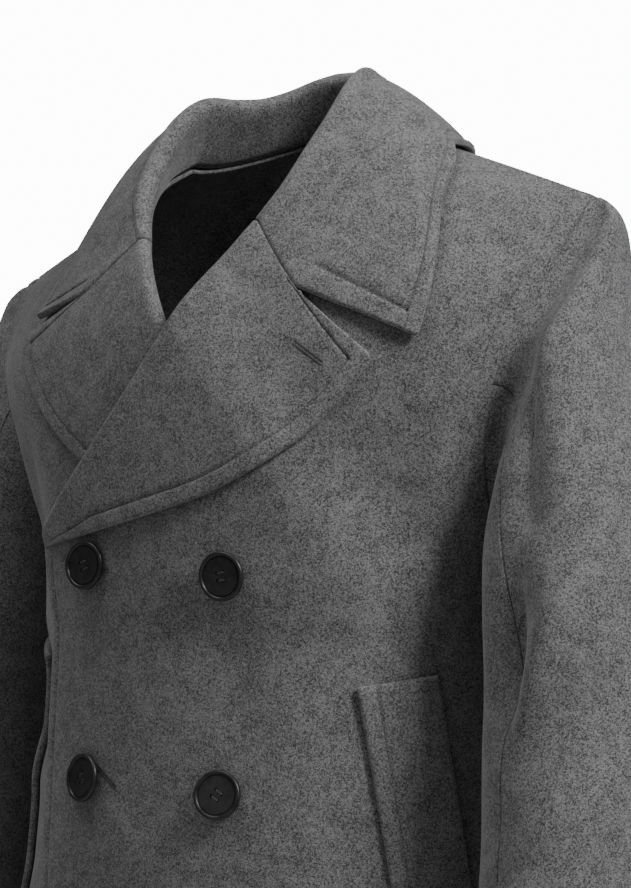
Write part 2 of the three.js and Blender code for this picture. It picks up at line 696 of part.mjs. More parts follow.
// Place on the armhole for a turn from the top of the shoulder, down the front and up the back
function armholePlace(turn) {
  const face = turn <= 0.5 ? FRONT : BACK;
  const row = mix(RIDGE_ROW, UNDERARM_ROW, 1 - Math.abs(turn - 0.5) * 2);
  const angle = seamAngle(face, row);
  const normal = formNormal(face, row, angle);
  return { point: formPoint(face, row, angle).addScaledVector(normal, CLOTH / 2), normal };
}

function sleevePath(turn, side) {
  const whole = turn - Math.floor(turn);
  const { point, normal } = armholePlace(whole);
  const next = armholePlace((whole + 0.01) % 1).point;
  const last = armholePlace((whole + 0.99) % 1).point;
  const away = normal.clone().cross(next.sub(last)).normalize();
  const under = smoothStep(0.3, 0.5, 0.5 - Math.abs(whole - 0.5));
  const start = point.clone().addScaledVector(away, SEAM + ARMHOLE_EASE + UNDERARM_EASE * under);
  const roll = start.clone().addScaledVector(away, mix(SLEEVE_HEAD, SLEEVE_UNDER, under));
  roll.addScaledVector(normal, mix(0.5, 5, under));
  const cosine = Math.cos(whole * Math.PI * 2);
  const sine = Math.sin(whole * Math.PI * 2);
  const sections = ARM_SECTIONS.map(({ x, y, z, across, fore, rise }) =>
    leanArm(new THREE.Vector3(x + across * cosine, y - fore * sine, z + rise * cosine), side),
  );
  const from = lean(roll, side);
  const cap = from.clone().lerp(sections[0], CAP_SHARE);
  cap.addScaledVector(away, CAP_OUT * (1 - under)).addScaledVector(normal, CAP_OUT * (1 - under));
  return [lean(start, side), from, cap, ...sections];
}

// How far the folds of a sleeve move its cloth at a turn and a level
function sleeveFold(turn, level) {
  const round = ARM_ROUND * (turn - Math.floor(turn + 1 - BACK_SLEEVE_SEAM));
  return SLEEVE_FOLDS.reduce((sum, { from, to, out, width }) => {
    const run = [to[0] - from[0], to[1] - from[1]];
    const share = ((round - from[0]) * run[0] + (level - from[1]) * run[1]) / Math.hypot(...run) ** 2;
    const near = Math.min(Math.max(share, 0), 1);
    const distance = Math.hypot(round - from[0] - near * run[0], level - from[1] - near * run[1]);
    const ends = smoothStep(-0.2, 0.35, share) * (1 - smoothStep(0.65, 1.2, share));
    return sum + out * ends * Math.exp(-((distance / width) ** 2));
  }, 0);
}

function sleevePiece(side, fromTurn, toTurn, steps) {
  const sheet = newSheet();
  const lines = [];
  const aside = 0.012;
  for (let step = 0; step <= steps; step += 1) {
    const turn = mix(fromTurn, toTurn, step / steps);
    const [last, path, next] = [-aside, 0, aside].map((shift) => sleevePath(turn + shift, side));
    const inward = { 0: 1, [steps]: -1 }[step] ?? 0;
    const line = [];
    for (let ring = 0; ring < SLEEVE_RINGS; ring += 1) {
      const place = ((path.length - 1) * ring) / (SLEEVE_RINGS - 1);
      const around = curveAt(next, place).sub(curveAt(last, place)).normalize();
      const down = curveAt(path, place + 0.1).sub(curveAt(path, place - 0.1));
      const whole = turn - Math.floor(turn);
      const normal = ring === 0 ? armholePlace(whole).normal : around.clone().cross(down).normalize();
      const gap = ring < TWISTED_RINGS ? TWIST_EASE : SEAM / 2;
      const middle = curveAt(path, place).addScaledVector(around, inward * gap);
      middle.addScaledVector(normal, sleeveFold(turn, middle.z) * smoothStep(0, 3, place));
      line.push(addCorner(sheet, middle, normal, CLOTH));
    }
    lines.push(line);
  }
  addGrid(sheet, lines[0].map((_, ring) => lines.map((line) => line[ring])));
  return wallGeometry(sheet, side, mirror);
}

// Pocket welts

function walkAcross(x, z, distance) {
  const steps = 12;
  let at = x;
  for (let step = 0; step < steps; step += 1) {
    at += (distance / steps) * Math.abs(placeOnForm(FRONT, at, z).normal.y);
  }
  return at;
}

function welt(side) {
  const [acrossSteps, downSteps] = [4, 7];
  const sheet = newSheet();
  const rows = [];
  for (let down = downSteps; down >= 0; down -= 1) {
    const line = [];
    for (let step = 0; step <= acrossSteps; step += 1) {
      const across = (WELT.width * step) / acrossSteps;
      const z = WELT.z - (WELT.length * down) / downSteps + across * WELT.lean;
      const x = walkAcross(WELT.x + (WELT.lean * WELT.length * down) / downSteps, z, across);
      const spot = placeOnForm(FRONT, x, z);
      line.push(addCorner(sheet, spot.raised(frontLift(side, x, z) + lapelRest()), spot.normal, DOUBLED));
    }
    rows.push(line);
  }
  addGrid(sheet, rows);
  return wallGeometry(sheet, side, settle);
}

// Buttons

function toManifold(geometry) {
  const whole = geometry.clone();
  whole.deleteAttribute('normal');
  whole.deleteAttribute('uv');
  const merged = mergeVertices(whole, 1e-4);
  const vertProperties = new Float32Array(merged.attributes.position.array);
  const triVerts = new Uint32Array(merged.index.array);
  return new wasm.Manifold(new wasm.Mesh({ numProp: 3, vertProperties, triVerts }));
}

function fromManifold(body) {
  const { vertProperties, triVerts } = body.getMesh();
  const geometry = new THREE.BufferGeometry();
  geometry.setAttribute('position', new THREE.Float32BufferAttribute(Array.from(vertProperties), 3));
  geometry.setIndex(Array.from(triVerts));
  geometry.computeVertexNormals();
  return geometry;
}

// A round button with a raised rim and four holes, on a short thread shank. Its back is at the origin.
function buttonGeometry() {
  const profile = [
    [0, -SHANK_LENGTH],
    [SHANK_RADIUS, -SHANK_LENGTH],
    [SHANK_RADIUS, 0],
    [BUTTON_RADIUS - 3, 0],
    [BUTTON_RADIUS, 1.4],
    [BUTTON_RADIUS, 3],
    [BUTTON_RADIUS - 1.6, BUTTON_THICKNESS],
    [BUTTON_RADIUS - 4, 3],
    [0, 2.6],
  ].map(([radius, height]) => new THREE.Vector2(radius, height));
  let body = toManifold(new THREE.LatheGeometry(profile, 20).rotateX(Math.PI / 2));
  for (const [x, y] of [[1, 1], [-1, 1], [-1, -1], [1, -1]]) {
    const hole = new THREE.CylinderGeometry(HOLE_RADIUS, HOLE_RADIUS, 2 * BUTTON_THICKNESS, 6);
    hole.rotateX(Math.PI / 2).translate(x * HOLE_OFFSET, y * HOLE_OFFSET, BUTTON_THICKNESS + 1);
    body = body.subtract(toManifold(hole));
  }
  return fromManifold(body);
}

function button(name, geometry, x, z) {
  const spot = placeOnForm(FRONT, x, z);
  const lift = frontLift(1, x, z) + CLOTH / 2 + SEAM / 3 + SHANK_LENGTH;
  const mesh = solid(name, geometry, HORN);
  mesh.position.copy(settle(spot.raised(lift), 1));
  mesh.lookAt(mesh.position.clone().add(spot.normal));
  return mesh;
}

const coat = new THREE.Group();
for (const [name, side] of [['left', 1], ['right', -1]]) {
  coat.add(solid(`front_${name}`, front(side), WOOL));
  coat.add(solid(`back_${name}`, back(side), WOOL));
  const topSteps = SLEEVE_HALF_STEPS;
  const underSteps = SLEEVE_HALF_STEPS - 2;
  const top = sleevePiece(side, BACK_SLEEVE_SEAM - 1, FRONT_SLEEVE_SEAM, topSteps);
  coat.add(solid(`sleeve_${name}_top`, top, WOOL));
  const under = sleevePiece(side, FRONT_SLEEVE_SEAM, BACK_SLEEVE_SEAM, underSteps);
  coat.add(solid(`sleeve_${name}_under`, under, WOOL));
  coat.add(solid(`pocket_welt_${name}`, welt(side), WOOL_FOLDED));
}
coat.add(solid('collar', collar(), WOOL_FOLDED));

const buttonShape = buttonGeometry();
for (const [level, z] of BUTTON_LEVELS.entries()) {
  coat.add(button(`button_edge_${level + 1}`, buttonShape, -BUTTON_COLUMN, z));
  coat.add(button(`button_inner_${level + 1}`, buttonShape, BUTTON_COLUMN, z));
}

export default coat;
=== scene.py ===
# %% [markdown]
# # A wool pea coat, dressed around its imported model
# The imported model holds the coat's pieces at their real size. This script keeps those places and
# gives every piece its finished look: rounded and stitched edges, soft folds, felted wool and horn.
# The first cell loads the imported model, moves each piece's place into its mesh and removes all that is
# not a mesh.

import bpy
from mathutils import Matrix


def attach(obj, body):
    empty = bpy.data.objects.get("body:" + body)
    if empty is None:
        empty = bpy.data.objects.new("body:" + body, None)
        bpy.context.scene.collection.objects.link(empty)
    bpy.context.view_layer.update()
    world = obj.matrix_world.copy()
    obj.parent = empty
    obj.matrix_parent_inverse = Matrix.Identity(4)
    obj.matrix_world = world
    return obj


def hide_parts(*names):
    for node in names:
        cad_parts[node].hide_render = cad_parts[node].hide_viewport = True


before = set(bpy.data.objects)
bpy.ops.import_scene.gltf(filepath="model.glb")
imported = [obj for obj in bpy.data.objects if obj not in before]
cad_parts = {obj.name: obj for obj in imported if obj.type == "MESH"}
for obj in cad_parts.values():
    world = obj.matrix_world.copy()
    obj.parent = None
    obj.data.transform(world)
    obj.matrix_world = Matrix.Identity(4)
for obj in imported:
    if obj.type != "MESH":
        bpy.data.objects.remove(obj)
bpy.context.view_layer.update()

import itertools
import math

import bmesh
import bpy
import numpy as np
from mathutils import Matrix, Vector
from mathutils.kdtree import KDTree

# %% [markdown]
# ## The sizes that the pieces share
# The sizes are in millimetres, as a pattern cutter gives them, and `MM` turns them into metres when
# a point is put in place. Each half of the coat is worked out on its own side, with x growing away
# from the middle. The two section tables say how wide and deep the coat is at each height.

# %% Driving sizes
MM = 0.001
CLOTH = 3.0  # one cloth
DOUBLED = 4.6  # a lapel, collar or welt: two cloths on a stiffener
SEAM = 0.3
REST = 0.7  # space under what lies on a panel
LEAN_AT_SHOULDERS, LEAN_AT_CHEST = 0.088, -0.037
SHOULDER_LEVEL, CHEST_LEVEL = -40, -230
SHOULDER_SLOPE, NECK_ROUNDING, SQUARENESS = 0.42, 30, 2.15
UNDERARM_ROW, RIDGE_ROW = 5, 13
HEM = -716

COLUMNS = ("height", "half_width", "depth", "seam", "slope")
FRONT_SECTIONS = (
    (HEM, 200, 147, 200, 0),
    (-590, 190, 146, 190, 0),
    (-470, 178, 142, 178, 0),
    (-370, 168, 136, 168, 0),
    (-290, 164, 130, 164, 0),
    (-240, 168, 127, 168, 0),
    (-205, 180, 126, 174, 0.02),
    (-169, 194, 124, 180, 0.1),
    (-126, 206, 120, 187, 0.3),
    (-83, 215, 111, 195, 0.55),
    (-42, 222, 93, 204, 0.8),
    (-8, 226, 67, 212, 0.95),
    (20, 228, 36, 219, 1),
    (36, 229, 0, 223, 1),
)
BACK_SECTIONS = (
    (HEM, 200, 126, 200, 0),
    (-590, 190, 122, 190, 0),
    (-470, 178, 114, 178, 0),
    (-370, 168, 108, 168, 0),
    (-290, 164, 112, 164, 0),
    (-240, 168, 118, 168, 0),
    (-205, 180, 121, 174, 0.02),
    (-169, 194, 123, 181, 0.1),
    (-126, 206, 122, 189, 0.3),
    (-83, 215, 118, 198, 0.55),
    (-38, 222, 109, 206, 0.8),
    (2, 226, 92, 213, 0.95),
    (30, 228, 58, 219, 1),
    (36, 229, 0, 223, 1),
)


def section_table(sign, sections):
    table = {name: np.array(column, float) for name, column in zip(COLUMNS, zip(*sections))}
    table["sign"] = sign
    return table


FRONT = section_table(-1, FRONT_SECTIONS)
BACK = section_table(1, BACK_SECTIONS)
print("The form has", len(FRONT_SECTIONS), "sections in front and", len(BACK_SECTIONS), "behind")

# %% [markdown]
# ## Curves through a table
# A table gives a value only at its rows. A Catmull-Rom curve gives a smooth value between them, and
# NumPy works it out for a whole grid of points in one step.


# %% Helpers for curves
def smooth_step(low, high, value):
    share = np.clip((value - low) / (high - low), 0, 1)
    return share * share * (3 - 2 * share)


def mix(start, end, share):
    return start + (end - start) * share


def table_value(column, row):
    """Value of a column, of numbers or of points, at rows that may lie between two entries."""
    column = np.asarray(column, float)
    row = np.asarray(row, float)
    last = len(column) - 1
    low = np.clip(np.floor(row), 0, last - 1).astype(int)
    part = row - low
    if column.ndim > 1:
        part = part[..., None]
    before, here, after, beyond = (column[np.clip(low + step, 0, last)] for step in (-1, 0, 1, 2))
    bend = 2 * before - 5 * here + 4 * after - beyond
    twist = 3 * (here - after) + beyond - before
    return here + 0.5 * part * (after - before + part * (bend + part * twist))


def unit(vectors):
    return vectors / np.maximum(np.linalg.norm(vectors, axis=-1, keepdims=True), 1e-9)


def signed_power(value, power):
    return np.sign(value) * np.abs(value) ** power


# %% [markdown]
# ## The form that the coat hangs in
# Every section is a superellipse, a rounded oblong. `place_on_form` finds the point of the form at a
# distance from the middle and a height, and the way out of the cloth there.


# %% Points of the form
def shoulder_drop(x):
    return SHOULDER_SLOPE * (np.hypot(x, NECK_ROUNDING) - NECK_ROUNDING)


def form_point(face, row, angle):
    x = table_value(face["half_width"], row) * signed_power(np.sin(angle), 2 / SQUARENESS)
    y = face["sign"] * table_value(face["depth"], row) * signed_power(np.cos(angle), 2 / SQUARENESS)
    z = table_value(face["height"], row) - table_value(face["slope"], row) * shoulder_drop(x)
    return np.stack([x, y, z], axis=-1)


def form_normal(face, row, angle):
    step = 0.02
    across = form_point(face, row, angle + step) - form_point(face, row, angle - step)
    up = form_point(face, row + step, angle) - form_point(face, row - step, angle)
    return unit(np.cross(across, up) * -face["sign"])


def angle_at(face, row, x):
    share = x / table_value(face["half_width"], row)
    return np.arcsin(np.clip(signed_power(share, SQUARENESS / 2), -1, 1))


def row_at(face, x, z):
    x, z = np.broadcast_arrays(np.asarray(x, float), np.asarray(z, float))
    low = np.zeros(x.shape)
    high = np.full(x.shape, float(RIDGE_ROW))
    for _ in range(30):
        row = (low + high) / 2
        height = table_value(face["height"], row) - table_value(face["slope"], row) * shoulder_drop(x)
        low = np.where(height < z, row, low)
        high = np.where(height < z, high, row)
    return (low + high) / 2


def place_on_form(face, x, z):
    row = row_at(face, x, z)
    angle = angle_at(face, row, x)
    return form_point(face, row, angle), form_normal(face, row, angle)


def row_at_depth(face, depth, low):
    high = float(RIDGE_ROW)
    for _ in range(40):
        row = (low + high) / 2
        if table_value(face["depth"], row) > depth:
            low = row
        else:
            high = row
    return (low + high) / 2


# %% [markdown]
# ## Soft folds
# Worn cloth is never quite smooth. Each fold here runs between two places on the cloth, stands out or
# sinks in by a few millimetres, and fades at both ends. They are placed one by one.
# The columns are: start, end, how far it stands out, and how wide it is, in millimetres.

# %% Folds of the panels, by face and side
LEFT, RIGHT = 1, -1
FOLDS = {
    (-1, LEFT): (
        ((150, -150), (118, -262), -3.0, 16),
        ((166, -170), (146, -262), 2.6, 11),
        ((112, -200), (70, -330), 1.6, 22),
        ((30, -262), (72, -352), -1.5, 20),
        ((96, -300), (92, -560), 1.8, 24),
        ((20, -420), (-20, -700), 2.2, 34),
        ((66, -470), (84, -716), -2.4, 26),
        ((128, -520), (150, -716), 3.2, 24),
        ((168, -440), (188, -716), -3.4, 20),
        ((176, -60), (140, -118), 1.5, 18),
        ((-60, -262), (-20, -300), 1.3, 14),
        ((-50, -389), (0, -430), 1.2, 16),
    ),
    (-1, RIGHT): (
        ((152, -156), (124, -270), -3.2, 15),
        ((168, -176), (150, -280), 2.4, 12),
        ((118, -210), (88, -352), 1.8, 20),
        ((100, -330), (104, -600), -2.0, 22),
        ((128, -500), (146, -716), 3.0, 26),
        ((166, -470), (184, -716), -3.2, 20),
        ((172, -66), (146, -124), 1.4, 18),
        ((138, -300), (142, -380), -8.0, 34),
        ((142, -380), (150, -470), -4.0, 30),
    ),
    (1, LEFT): (
        ((60, -60), (128, -190), 2.4, 20),
        ((84, -30), (150, -150), -2.2, 16),
        ((150, -170), (112, -290), 3.0, 16),
        ((160, -210), (128, -330), -2.6, 14),
        ((36, -200), (44, -420), 1.8, 26),
        ((70, -380), (92, -716), 3.0, 28),
        ((120, -400), (142, -716), -3.4, 24),
        ((168, -470), (184, -716), 2.8, 20),
        ((20, -420), (26, -716), -1.8, 20),
    ),
    (1, RIGHT): (
        ((52, -66), (120, -204), 2.2, 22),
        ((88, -36), (146, -160), -2.0, 15),
        ((148, -182), (106, -306), 3.2, 15),
        ((162, -230), (134, -344), -2.4, 13),
        ((42, -230), (38, -440), -1.6, 24),
        ((64, -400), (80, -716), 2.8, 26),
        ((112, -430), (134, -716), -3.2, 22),
        ((160, -450), (178, -716), 3.0, 20),
    ),
}


def fold_height(across, along, folds):
    total = np.zeros(np.broadcast(across, along).shape)
    for (x0, z0), (x1, z1), out, width in folds:
        run_x, run_z = x1 - x0, z1 - z0
        share = ((across - x0) * run_x + (along - z0) * run_z) / (run_x**2 + run_z**2)
        nearest = np.clip(share, 0, 1)
        distance = np.hypot(across - x0 - nearest * run_x, along - z0 - nearest * run_z)
        fade = smooth_step(-0.2, 0.35, share) * (1 - smooth_step(0.65, 1.2, share))
        total += out * fade * np.exp(-((distance / width) ** 2))
    return total


print("The panels have", sum(len(folds) for folds in FOLDS.values()), "folds placed by hand")

# %% [markdown]
# ## How far each cloth lies from the form
# The left front rides over the right one and its lapel, so it is lifted there. A lapel rests on its
# front, and it stands a little higher at its fold, where the cloth springs back.

# %% Opening, roll line and lapel edge
OVERLAP = 99
BREAK = (-OVERLAP, -240)
GORGE = (45, -46)
NOTCH = {LEFT: (81, -87), RIGHT: (84, -74)}
COLLAR_TIP = {LEFT: (155, -118), RIGHT: (136, -85)}
ROLL = ((-99, -240), (-51, -185), (-4, -124), (17, -91), GORGE)
LOW_EDGE = (BREAK, (-66, -234), (-38, -226), (2, -214), (42, -200))
LAPEL_EDGE = {
    LEFT: (*LOW_EDGE, (84, -176), (112, -151), (133, -126)),
    RIGHT: (*LOW_EDGE, (92, -168), (127, -133), (150, -97)),
}
COVER_LIFT, COVER_LOW, COVER_FADE = 10.6, 4.2, 74
COVER_START = 8  # past the other front's roll line, in millimetres
COVER_RISE = (60, 5)  # below the break, where the lift grows to its full height
FOLD_BULGE, FOLD_FADE = 1.4, 26
LAPEL_REST = CLOTH / 2 + REST + DOUBLED / 2
NECK_WIDTH, NECK_FRONT_DEPTH, NECK_BACK_DEPTH = 80, 110, 62


# %% Lifts of the fronts and lapels
def front_lift(side, x, z):
    covered_by_none = np.full(np.broadcast(x, z).shape, CLOTH / 2)
    if side == RIGHT:
        return covered_by_none
    above = smooth_step(BREAK[1] - COVER_RISE[0], BREAK[1] - COVER_RISE[1], z)
    share = np.clip((z - BREAK[1]) / (GORGE[1] - BREAK[1]), 0, 1)
    roll_of_other = -mix(BREAK[0], GORGE[0], share)
    covered = 1 - smooth_step(roll_of_other + COVER_START, roll_of_other + COVER_FADE, x)
    return covered_by_none + mix(COVER_LOW, COVER_LIFT, above) * covered


def cloth_lift(face, side, x, z):
    own = front_lift(side, x, z) if face is FRONT else CLOTH / 2
    return own + fold_height(x, z, FOLDS[face["sign"], side])


def lapel_lift(side, x, z, from_fold):
    bulge = FOLD_BULGE * np.exp(-from_fold / FOLD_FADE)
    return cloth_lift(FRONT, side, x, z) + LAPEL_REST + bulge


def neckline_x(depth, neck_depth):
    return NECK_WIDTH * np.sqrt(np.maximum(1 - (depth / neck_depth) ** 2, 0))


def settle(points, side, arm=False):
    """Leans the shoulders, mirrors the right side and turns millimetres into metres."""
    share = 1 if arm else smooth_step(CHEST_LEVEL, SHOULDER_LEVEL, points[..., 2])
    rise = points[..., 0] * side * mix(LEAN_AT_CHEST, LEAN_AT_SHOULDERS, share)
    return np.stack([points[..., 0] * side, points[..., 1], points[..., 2] + rise], axis=-1) * MM


# %% [markdown]
# ## Edges and topstitching
# A tailored edge is rounded, puffs up a little, and has a row of stitches sunk in a groove 10 mm from
# it. The grid of a piece has its lines close together where the edge turns and where the groove runs.
# `wall_share` turns the distance from an edge into a share of the full thickness of the cloth.

# %% Where grid lines lie near an edge, in millimetres from it
EDGE_LINES = (0, 0.35, 0.9, 1.7, 2.8, 4.6, 6.6, 8.2, 9.2, 9.7, 10.1, 10.5, 11.0, 12.0, 14.0)
STITCH_LINE = EDGE_LINES.index(10.1)
SEAM_LINES = (0, 0.5, 1.2, 2.4, 4.2, 6.6)
GROOVE_AT, GROOVE_WIDTH, GROOVE_SHARE = 10.1, 1.0, 0.55
PUFF_WIDTH, PUFF_SHARE = 3.0, 0.22
THINNEST = 0.2  # share of the full wall that is left at the very edge
FAR = 1000.0
CORNER_FREE = 9.5  # a groove stops short of the next edge by this much
END_ROOM = 0.42  # share of a short row that the close lines of each end may take


def wall_share(distance, round_over):
    bow = np.clip(1 - distance / round_over, 0, 1)
    return np.maximum(np.sqrt(1 - bow**2), THINNEST)


def groove(distance):
    puff = PUFF_SHARE * np.exp(-(((distance - GROOVE_AT / 2) / PUFF_WIDTH) ** 2))
    return puff - GROOVE_SHARE * np.exp(-(((distance - GROOVE_AT) / GROOVE_WIDTH) ** 2))


def spaced(length, first_lines, last_lines, middle_steps):
    """Distances along a row: close lines at both ends, and even steps between them."""
    room = END_ROOM * length
    first = np.minimum(1, room / max(first_lines[-1], 1)) * np.asarray(first_lines, float)
    last = np.minimum(1, room / max(last_lines[-1], 1)) * np.asarray(last_lines, float)
    middle = np.linspace(first[-1], length - last[-1], middle_steps + 1)[1:-1]
    return np.concatenate([first, middle, (length - last)[::-1]])


print("A topstitched edge has", len(EDGE_LINES), "grid lines in its first", EDGE_LINES[-1], "mm")

# %% [markdown]
# ## From a grid of points to a cloth
# `create_grid` makes a flat grid, and its corners are moved to their places on the coat. A Solidify
# modifier then gives the cloth its wall. A vertex group thins that wall at edges and in grooves.


# %% Helpers for cloth pieces
def add_grid(cloth, points, shares):
    rows, columns = shares.shape
    weights = cloth.verts.layers.deform.verify()
    made = bmesh.ops.create_grid(cloth, x_segments=columns - 1, y_segments=rows - 1, size=0.5)
    for corner in made["verts"]:
        column = round((corner.co.x + 0.5) * (columns - 1))
        row = round((corner.co.y + 0.5) * (rows - 1))
        corner.co = points[row, column]
        corner[weights][0] = float(shares[row, column])


MERGE_WITHIN = 2e-6


def make_cloth(name, node, wall, *grids):
    """One piece of cloth from grids of points in metres, each with its shares of the full wall."""
    cloth = bmesh.new()
    for points, shares in grids:
        add_grid(cloth, points, shares)
    bmesh.ops.remove_doubles(cloth, verts=cloth.verts, dist=MERGE_WITHIN)
    bmesh.ops.dissolve_degenerate(cloth, edges=cloth.edges, dist=MERGE_WITHIN)
    area = sum(face.calc_area() for face in cloth.faces)
    for face in cloth.faces:
        face.smooth = True
    mesh = bpy.data.meshes.new(name)
    cloth.to_mesh(mesh)
    cloth.free()
    piece = bpy.data.objects.new(name, mesh)
    bpy.context.scene.collection.objects.link(piece)
    piece.vertex_groups.new(name="wall")
    thickness = piece.modifiers.new("Wall", "SOLIDIFY")
    thickness.thickness = wall * MM
    thickness.offset = 0
    thickness.vertex_group = "wall"
    mesh.materials.append(WOOL)
    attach(piece, "root")
    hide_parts(node)
    print(name, "has", len(mesh.vertices), "corners and", round(area, 4), "square metres of cloth")
    return piece


def grid_normals(points):
    across = np.gradient(points, axis=1)
    up = np.gradient(points, axis=0)
    return unit(np.cross(across, up))


# %% [markdown]
# ## Stitches
# Each stitch is a small capsule that lies along its row and sinks into the groove. A sphere with few
# faces is enough, because there are hundreds of them. `stitch_rows` joins the rows of one piece.

# %% Helper for rows of stitches
STITCH_LENGTH, STITCH_PITCH, THREAD_RADIUS = 2.5, 3.3, 0.3


def add_stitches(threads, line, normals, lift, pitch=STITCH_PITCH, length=STITCH_LENGTH):
    """Lays stitches along a line of points, each lifted off it along the normals, in millimetres."""
    steps = np.linalg.norm(np.diff(line, axis=0), axis=1) / MM
    run = np.concatenate([[0], np.cumsum(steps)])
    count = int(run[-1] // pitch)
    for place in (np.arange(count) + 0.5) * pitch:
        here = np.array([np.interp(place, run, line[:, axis]) for axis in range(3)])
        ahead = np.array([np.interp(place + 1, run, line[:, axis]) for axis in range(3)])
        back = np.array([np.interp(place - 1, run, line[:, axis]) for axis in range(3)])
        way = unit(ahead - back)
        out = np.array([np.interp(place, run, normals[:, axis]) for axis in range(3)])
        out = unit(out - way * out.dot(way))
        turn = Matrix((way, np.cross(out, way), out)).transposed().to_4x4()
        size = Matrix.Diagonal((length / 2, THREAD_RADIUS, THREAD_RADIUS, 1)) @ Matrix.Scale(MM, 4)
        size[3][3] = 1
        put = Matrix.Translation(Vector(here + out * lift * MM)) @ turn @ size
        bmesh.ops.create_uvsphere(threads, u_segments=6, v_segments=4, radius=1, matrix=put)


def finish_threads(threads, name, node):
    for face in threads.faces:
        face.smooth = True
    mesh = bpy.data.meshes.new(name)
    threads.to_mesh(mesh)
    threads.free()
    piece = bpy.data.objects.new(name, mesh)
    bpy.context.scene.collection.objects.link(piece)
    mesh.materials.append(THREAD)
    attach(piece, "root")
    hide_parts(node)
    print(name, "has", len(mesh.polygons), "faces")
    return piece


def stitch_rows(name, node, *rows):
    """Stitches along rows, each given as the wall it is sunk in, its points and its normals."""
    threads = bmesh.new()
    for wall, line, normals in rows:
        add_stitches(threads, line, normals, wall / 2 * (1 - GROOVE_SHARE))
    return finish_threads(threads, name + "_stitches", node)


# %% [markdown]
# ## Felted wool, thread and horn
# Melton is woven and then felted, so it has no clear weave. Up close it is a mat of short fibres,
# some lighter and some darker, lying in crossing directions. One node group makes that mat, and the
# cloth and the thread use it with their own colours.


# %% Helpers for materials
def new_material(name, roughness, sheen=0.0):
    material = bpy.data.materials.new(name)
    material.use_nodes = True
    shader = material.node_tree.nodes["Principled BSDF"]
    shader.inputs["Roughness"].default_value = roughness
    shader.inputs["Sheen Weight"].default_value = sheen
    shader.inputs["Sheen Roughness"].default_value = 0.45
    return material, shader


def add_node(tree, kind, **values):
    node = tree.nodes.new(kind)
    for name, value in values.items():
        setattr(node, name, value)
    return node


def add_noise(tree, place, scale, detail=3.0, roughness=0.6):
    noise = add_node(tree, "ShaderNodeTexNoise")
    noise.inputs["Scale"].default_value = scale
    noise.inputs["Detail"].default_value = detail
    noise.inputs["Roughness"].default_value = roughness
    tree.links.new(place, noise.inputs["Vector"])
    return noise.outputs["Fac"]


def add_math(tree, operation, first, second):
    node = add_node(tree, "ShaderNodeMath", operation=operation)
    for socket, value in zip(node.inputs, (first, second)):
        if isinstance(value, (int, float)):
            socket.default_value = value
        else:
            tree.links.new(value, socket)
    return node.outputs[0]


# %% The mat of fibres, as a node group
def fibre_group():
    tree = bpy.data.node_groups.new("Felted fibres", "ShaderNodeTree")
    for name in ("Dark fibre", "Light fibre"):
        tree.interface.new_socket(name, in_out="INPUT", socket_type="NodeSocketColor")
    tree.interface.new_socket("Colour", in_out="OUTPUT", socket_type="NodeSocketColor")
    tree.interface.new_socket("Nap", in_out="OUTPUT", socket_type="NodeSocketFloat")
    given = add_node(tree, "NodeGroupInput")
    result = add_node(tree, "NodeGroupOutput")
    place = add_node(tree, "ShaderNodeTexCoord").outputs["Object"]
    strands = []
    for turn, scale in ((0.65, 1250), (-0.8, 1400)):
        lay = add_node(tree, "ShaderNodeMapping")
        lay.inputs["Rotation"].default_value = (turn, turn, turn / 2)
        lay.inputs["Scale"].default_value = (1, 0.7, 1)
        tree.links.new(place, lay.inputs["Vector"])
        strands.append(add_noise(tree, lay.outputs["Vector"], scale, 2, 0.6))
    crossed = add_math(tree, "ADD", strands[0], strands[1])
    clumps = add_noise(tree, place, 620, 3, 0.65)
    clouds = add_noise(tree, place, 90, 4, 0.6)
    short = add_math(tree, "MULTIPLY", crossed, 0.3)
    nap = add_math(tree, "ADD", short, add_math(tree, "MULTIPLY", clumps, 0.28))
    tone = add_math(tree, "ADD", nap, add_math(tree, "MULTIPLY", clouds, 0.12))
    spread = add_node(tree, "ShaderNodeMapRange", interpolation_type="SMOOTHSTEP")
    spread.inputs["From Min"].default_value = 0.4
    spread.inputs["From Max"].default_value = 0.6
    tree.links.new(tone, spread.inputs["Value"])
    blend = add_node(tree, "ShaderNodeMix", data_type="RGBA")
    tree.links.new(spread.outputs["Result"], blend.inputs["Factor"])
    tree.links.new(given.outputs["Dark fibre"], blend.inputs[6])
    tree.links.new(given.outputs["Light fibre"], blend.inputs[7])
    tree.links.new(blend.outputs[2], result.inputs["Colour"])
    tree.links.new(nap, result.inputs["Nap"])
    return tree


FIBRES = fibre_group()
print("The fibre group has", len(FIBRES.nodes), "nodes")


# %% Wool and thread
def wool_material(name, dark, light, bump, roughness=0.92, sheen=0.25):
    material, shader = new_material(name, roughness, sheen)
    tree = material.node_tree
    mat = add_node(tree, "ShaderNodeGroup", node_tree=FIBRES)
    mat.inputs["Dark fibre"].default_value = (*dark, 1)
    mat.inputs["Light fibre"].default_value = (*light, 1)
    raised = add_node(tree, "ShaderNodeBump")
    raised.inputs["Strength"].default_value = bump
    raised.inputs["Distance"].default_value = 0.0011
    tree.links.new(mat.outputs["Colour"], shader.inputs["Base Color"])
    tree.links.new(mat.outputs["Nap"], raised.inputs["Height"])
    tree.links.new(raised.outputs["Normal"], shader.inputs["Normal"])
    return material


WOOL = wool_material("Melton wool", (0.032, 0.031, 0.032), (0.29, 0.281, 0.286), 0.6)
THREAD = wool_material("Wool-coloured thread", (0.05, 0.048, 0.05), (0.12, 0.116, 0.118), 0.2, 0.7, 0.1)


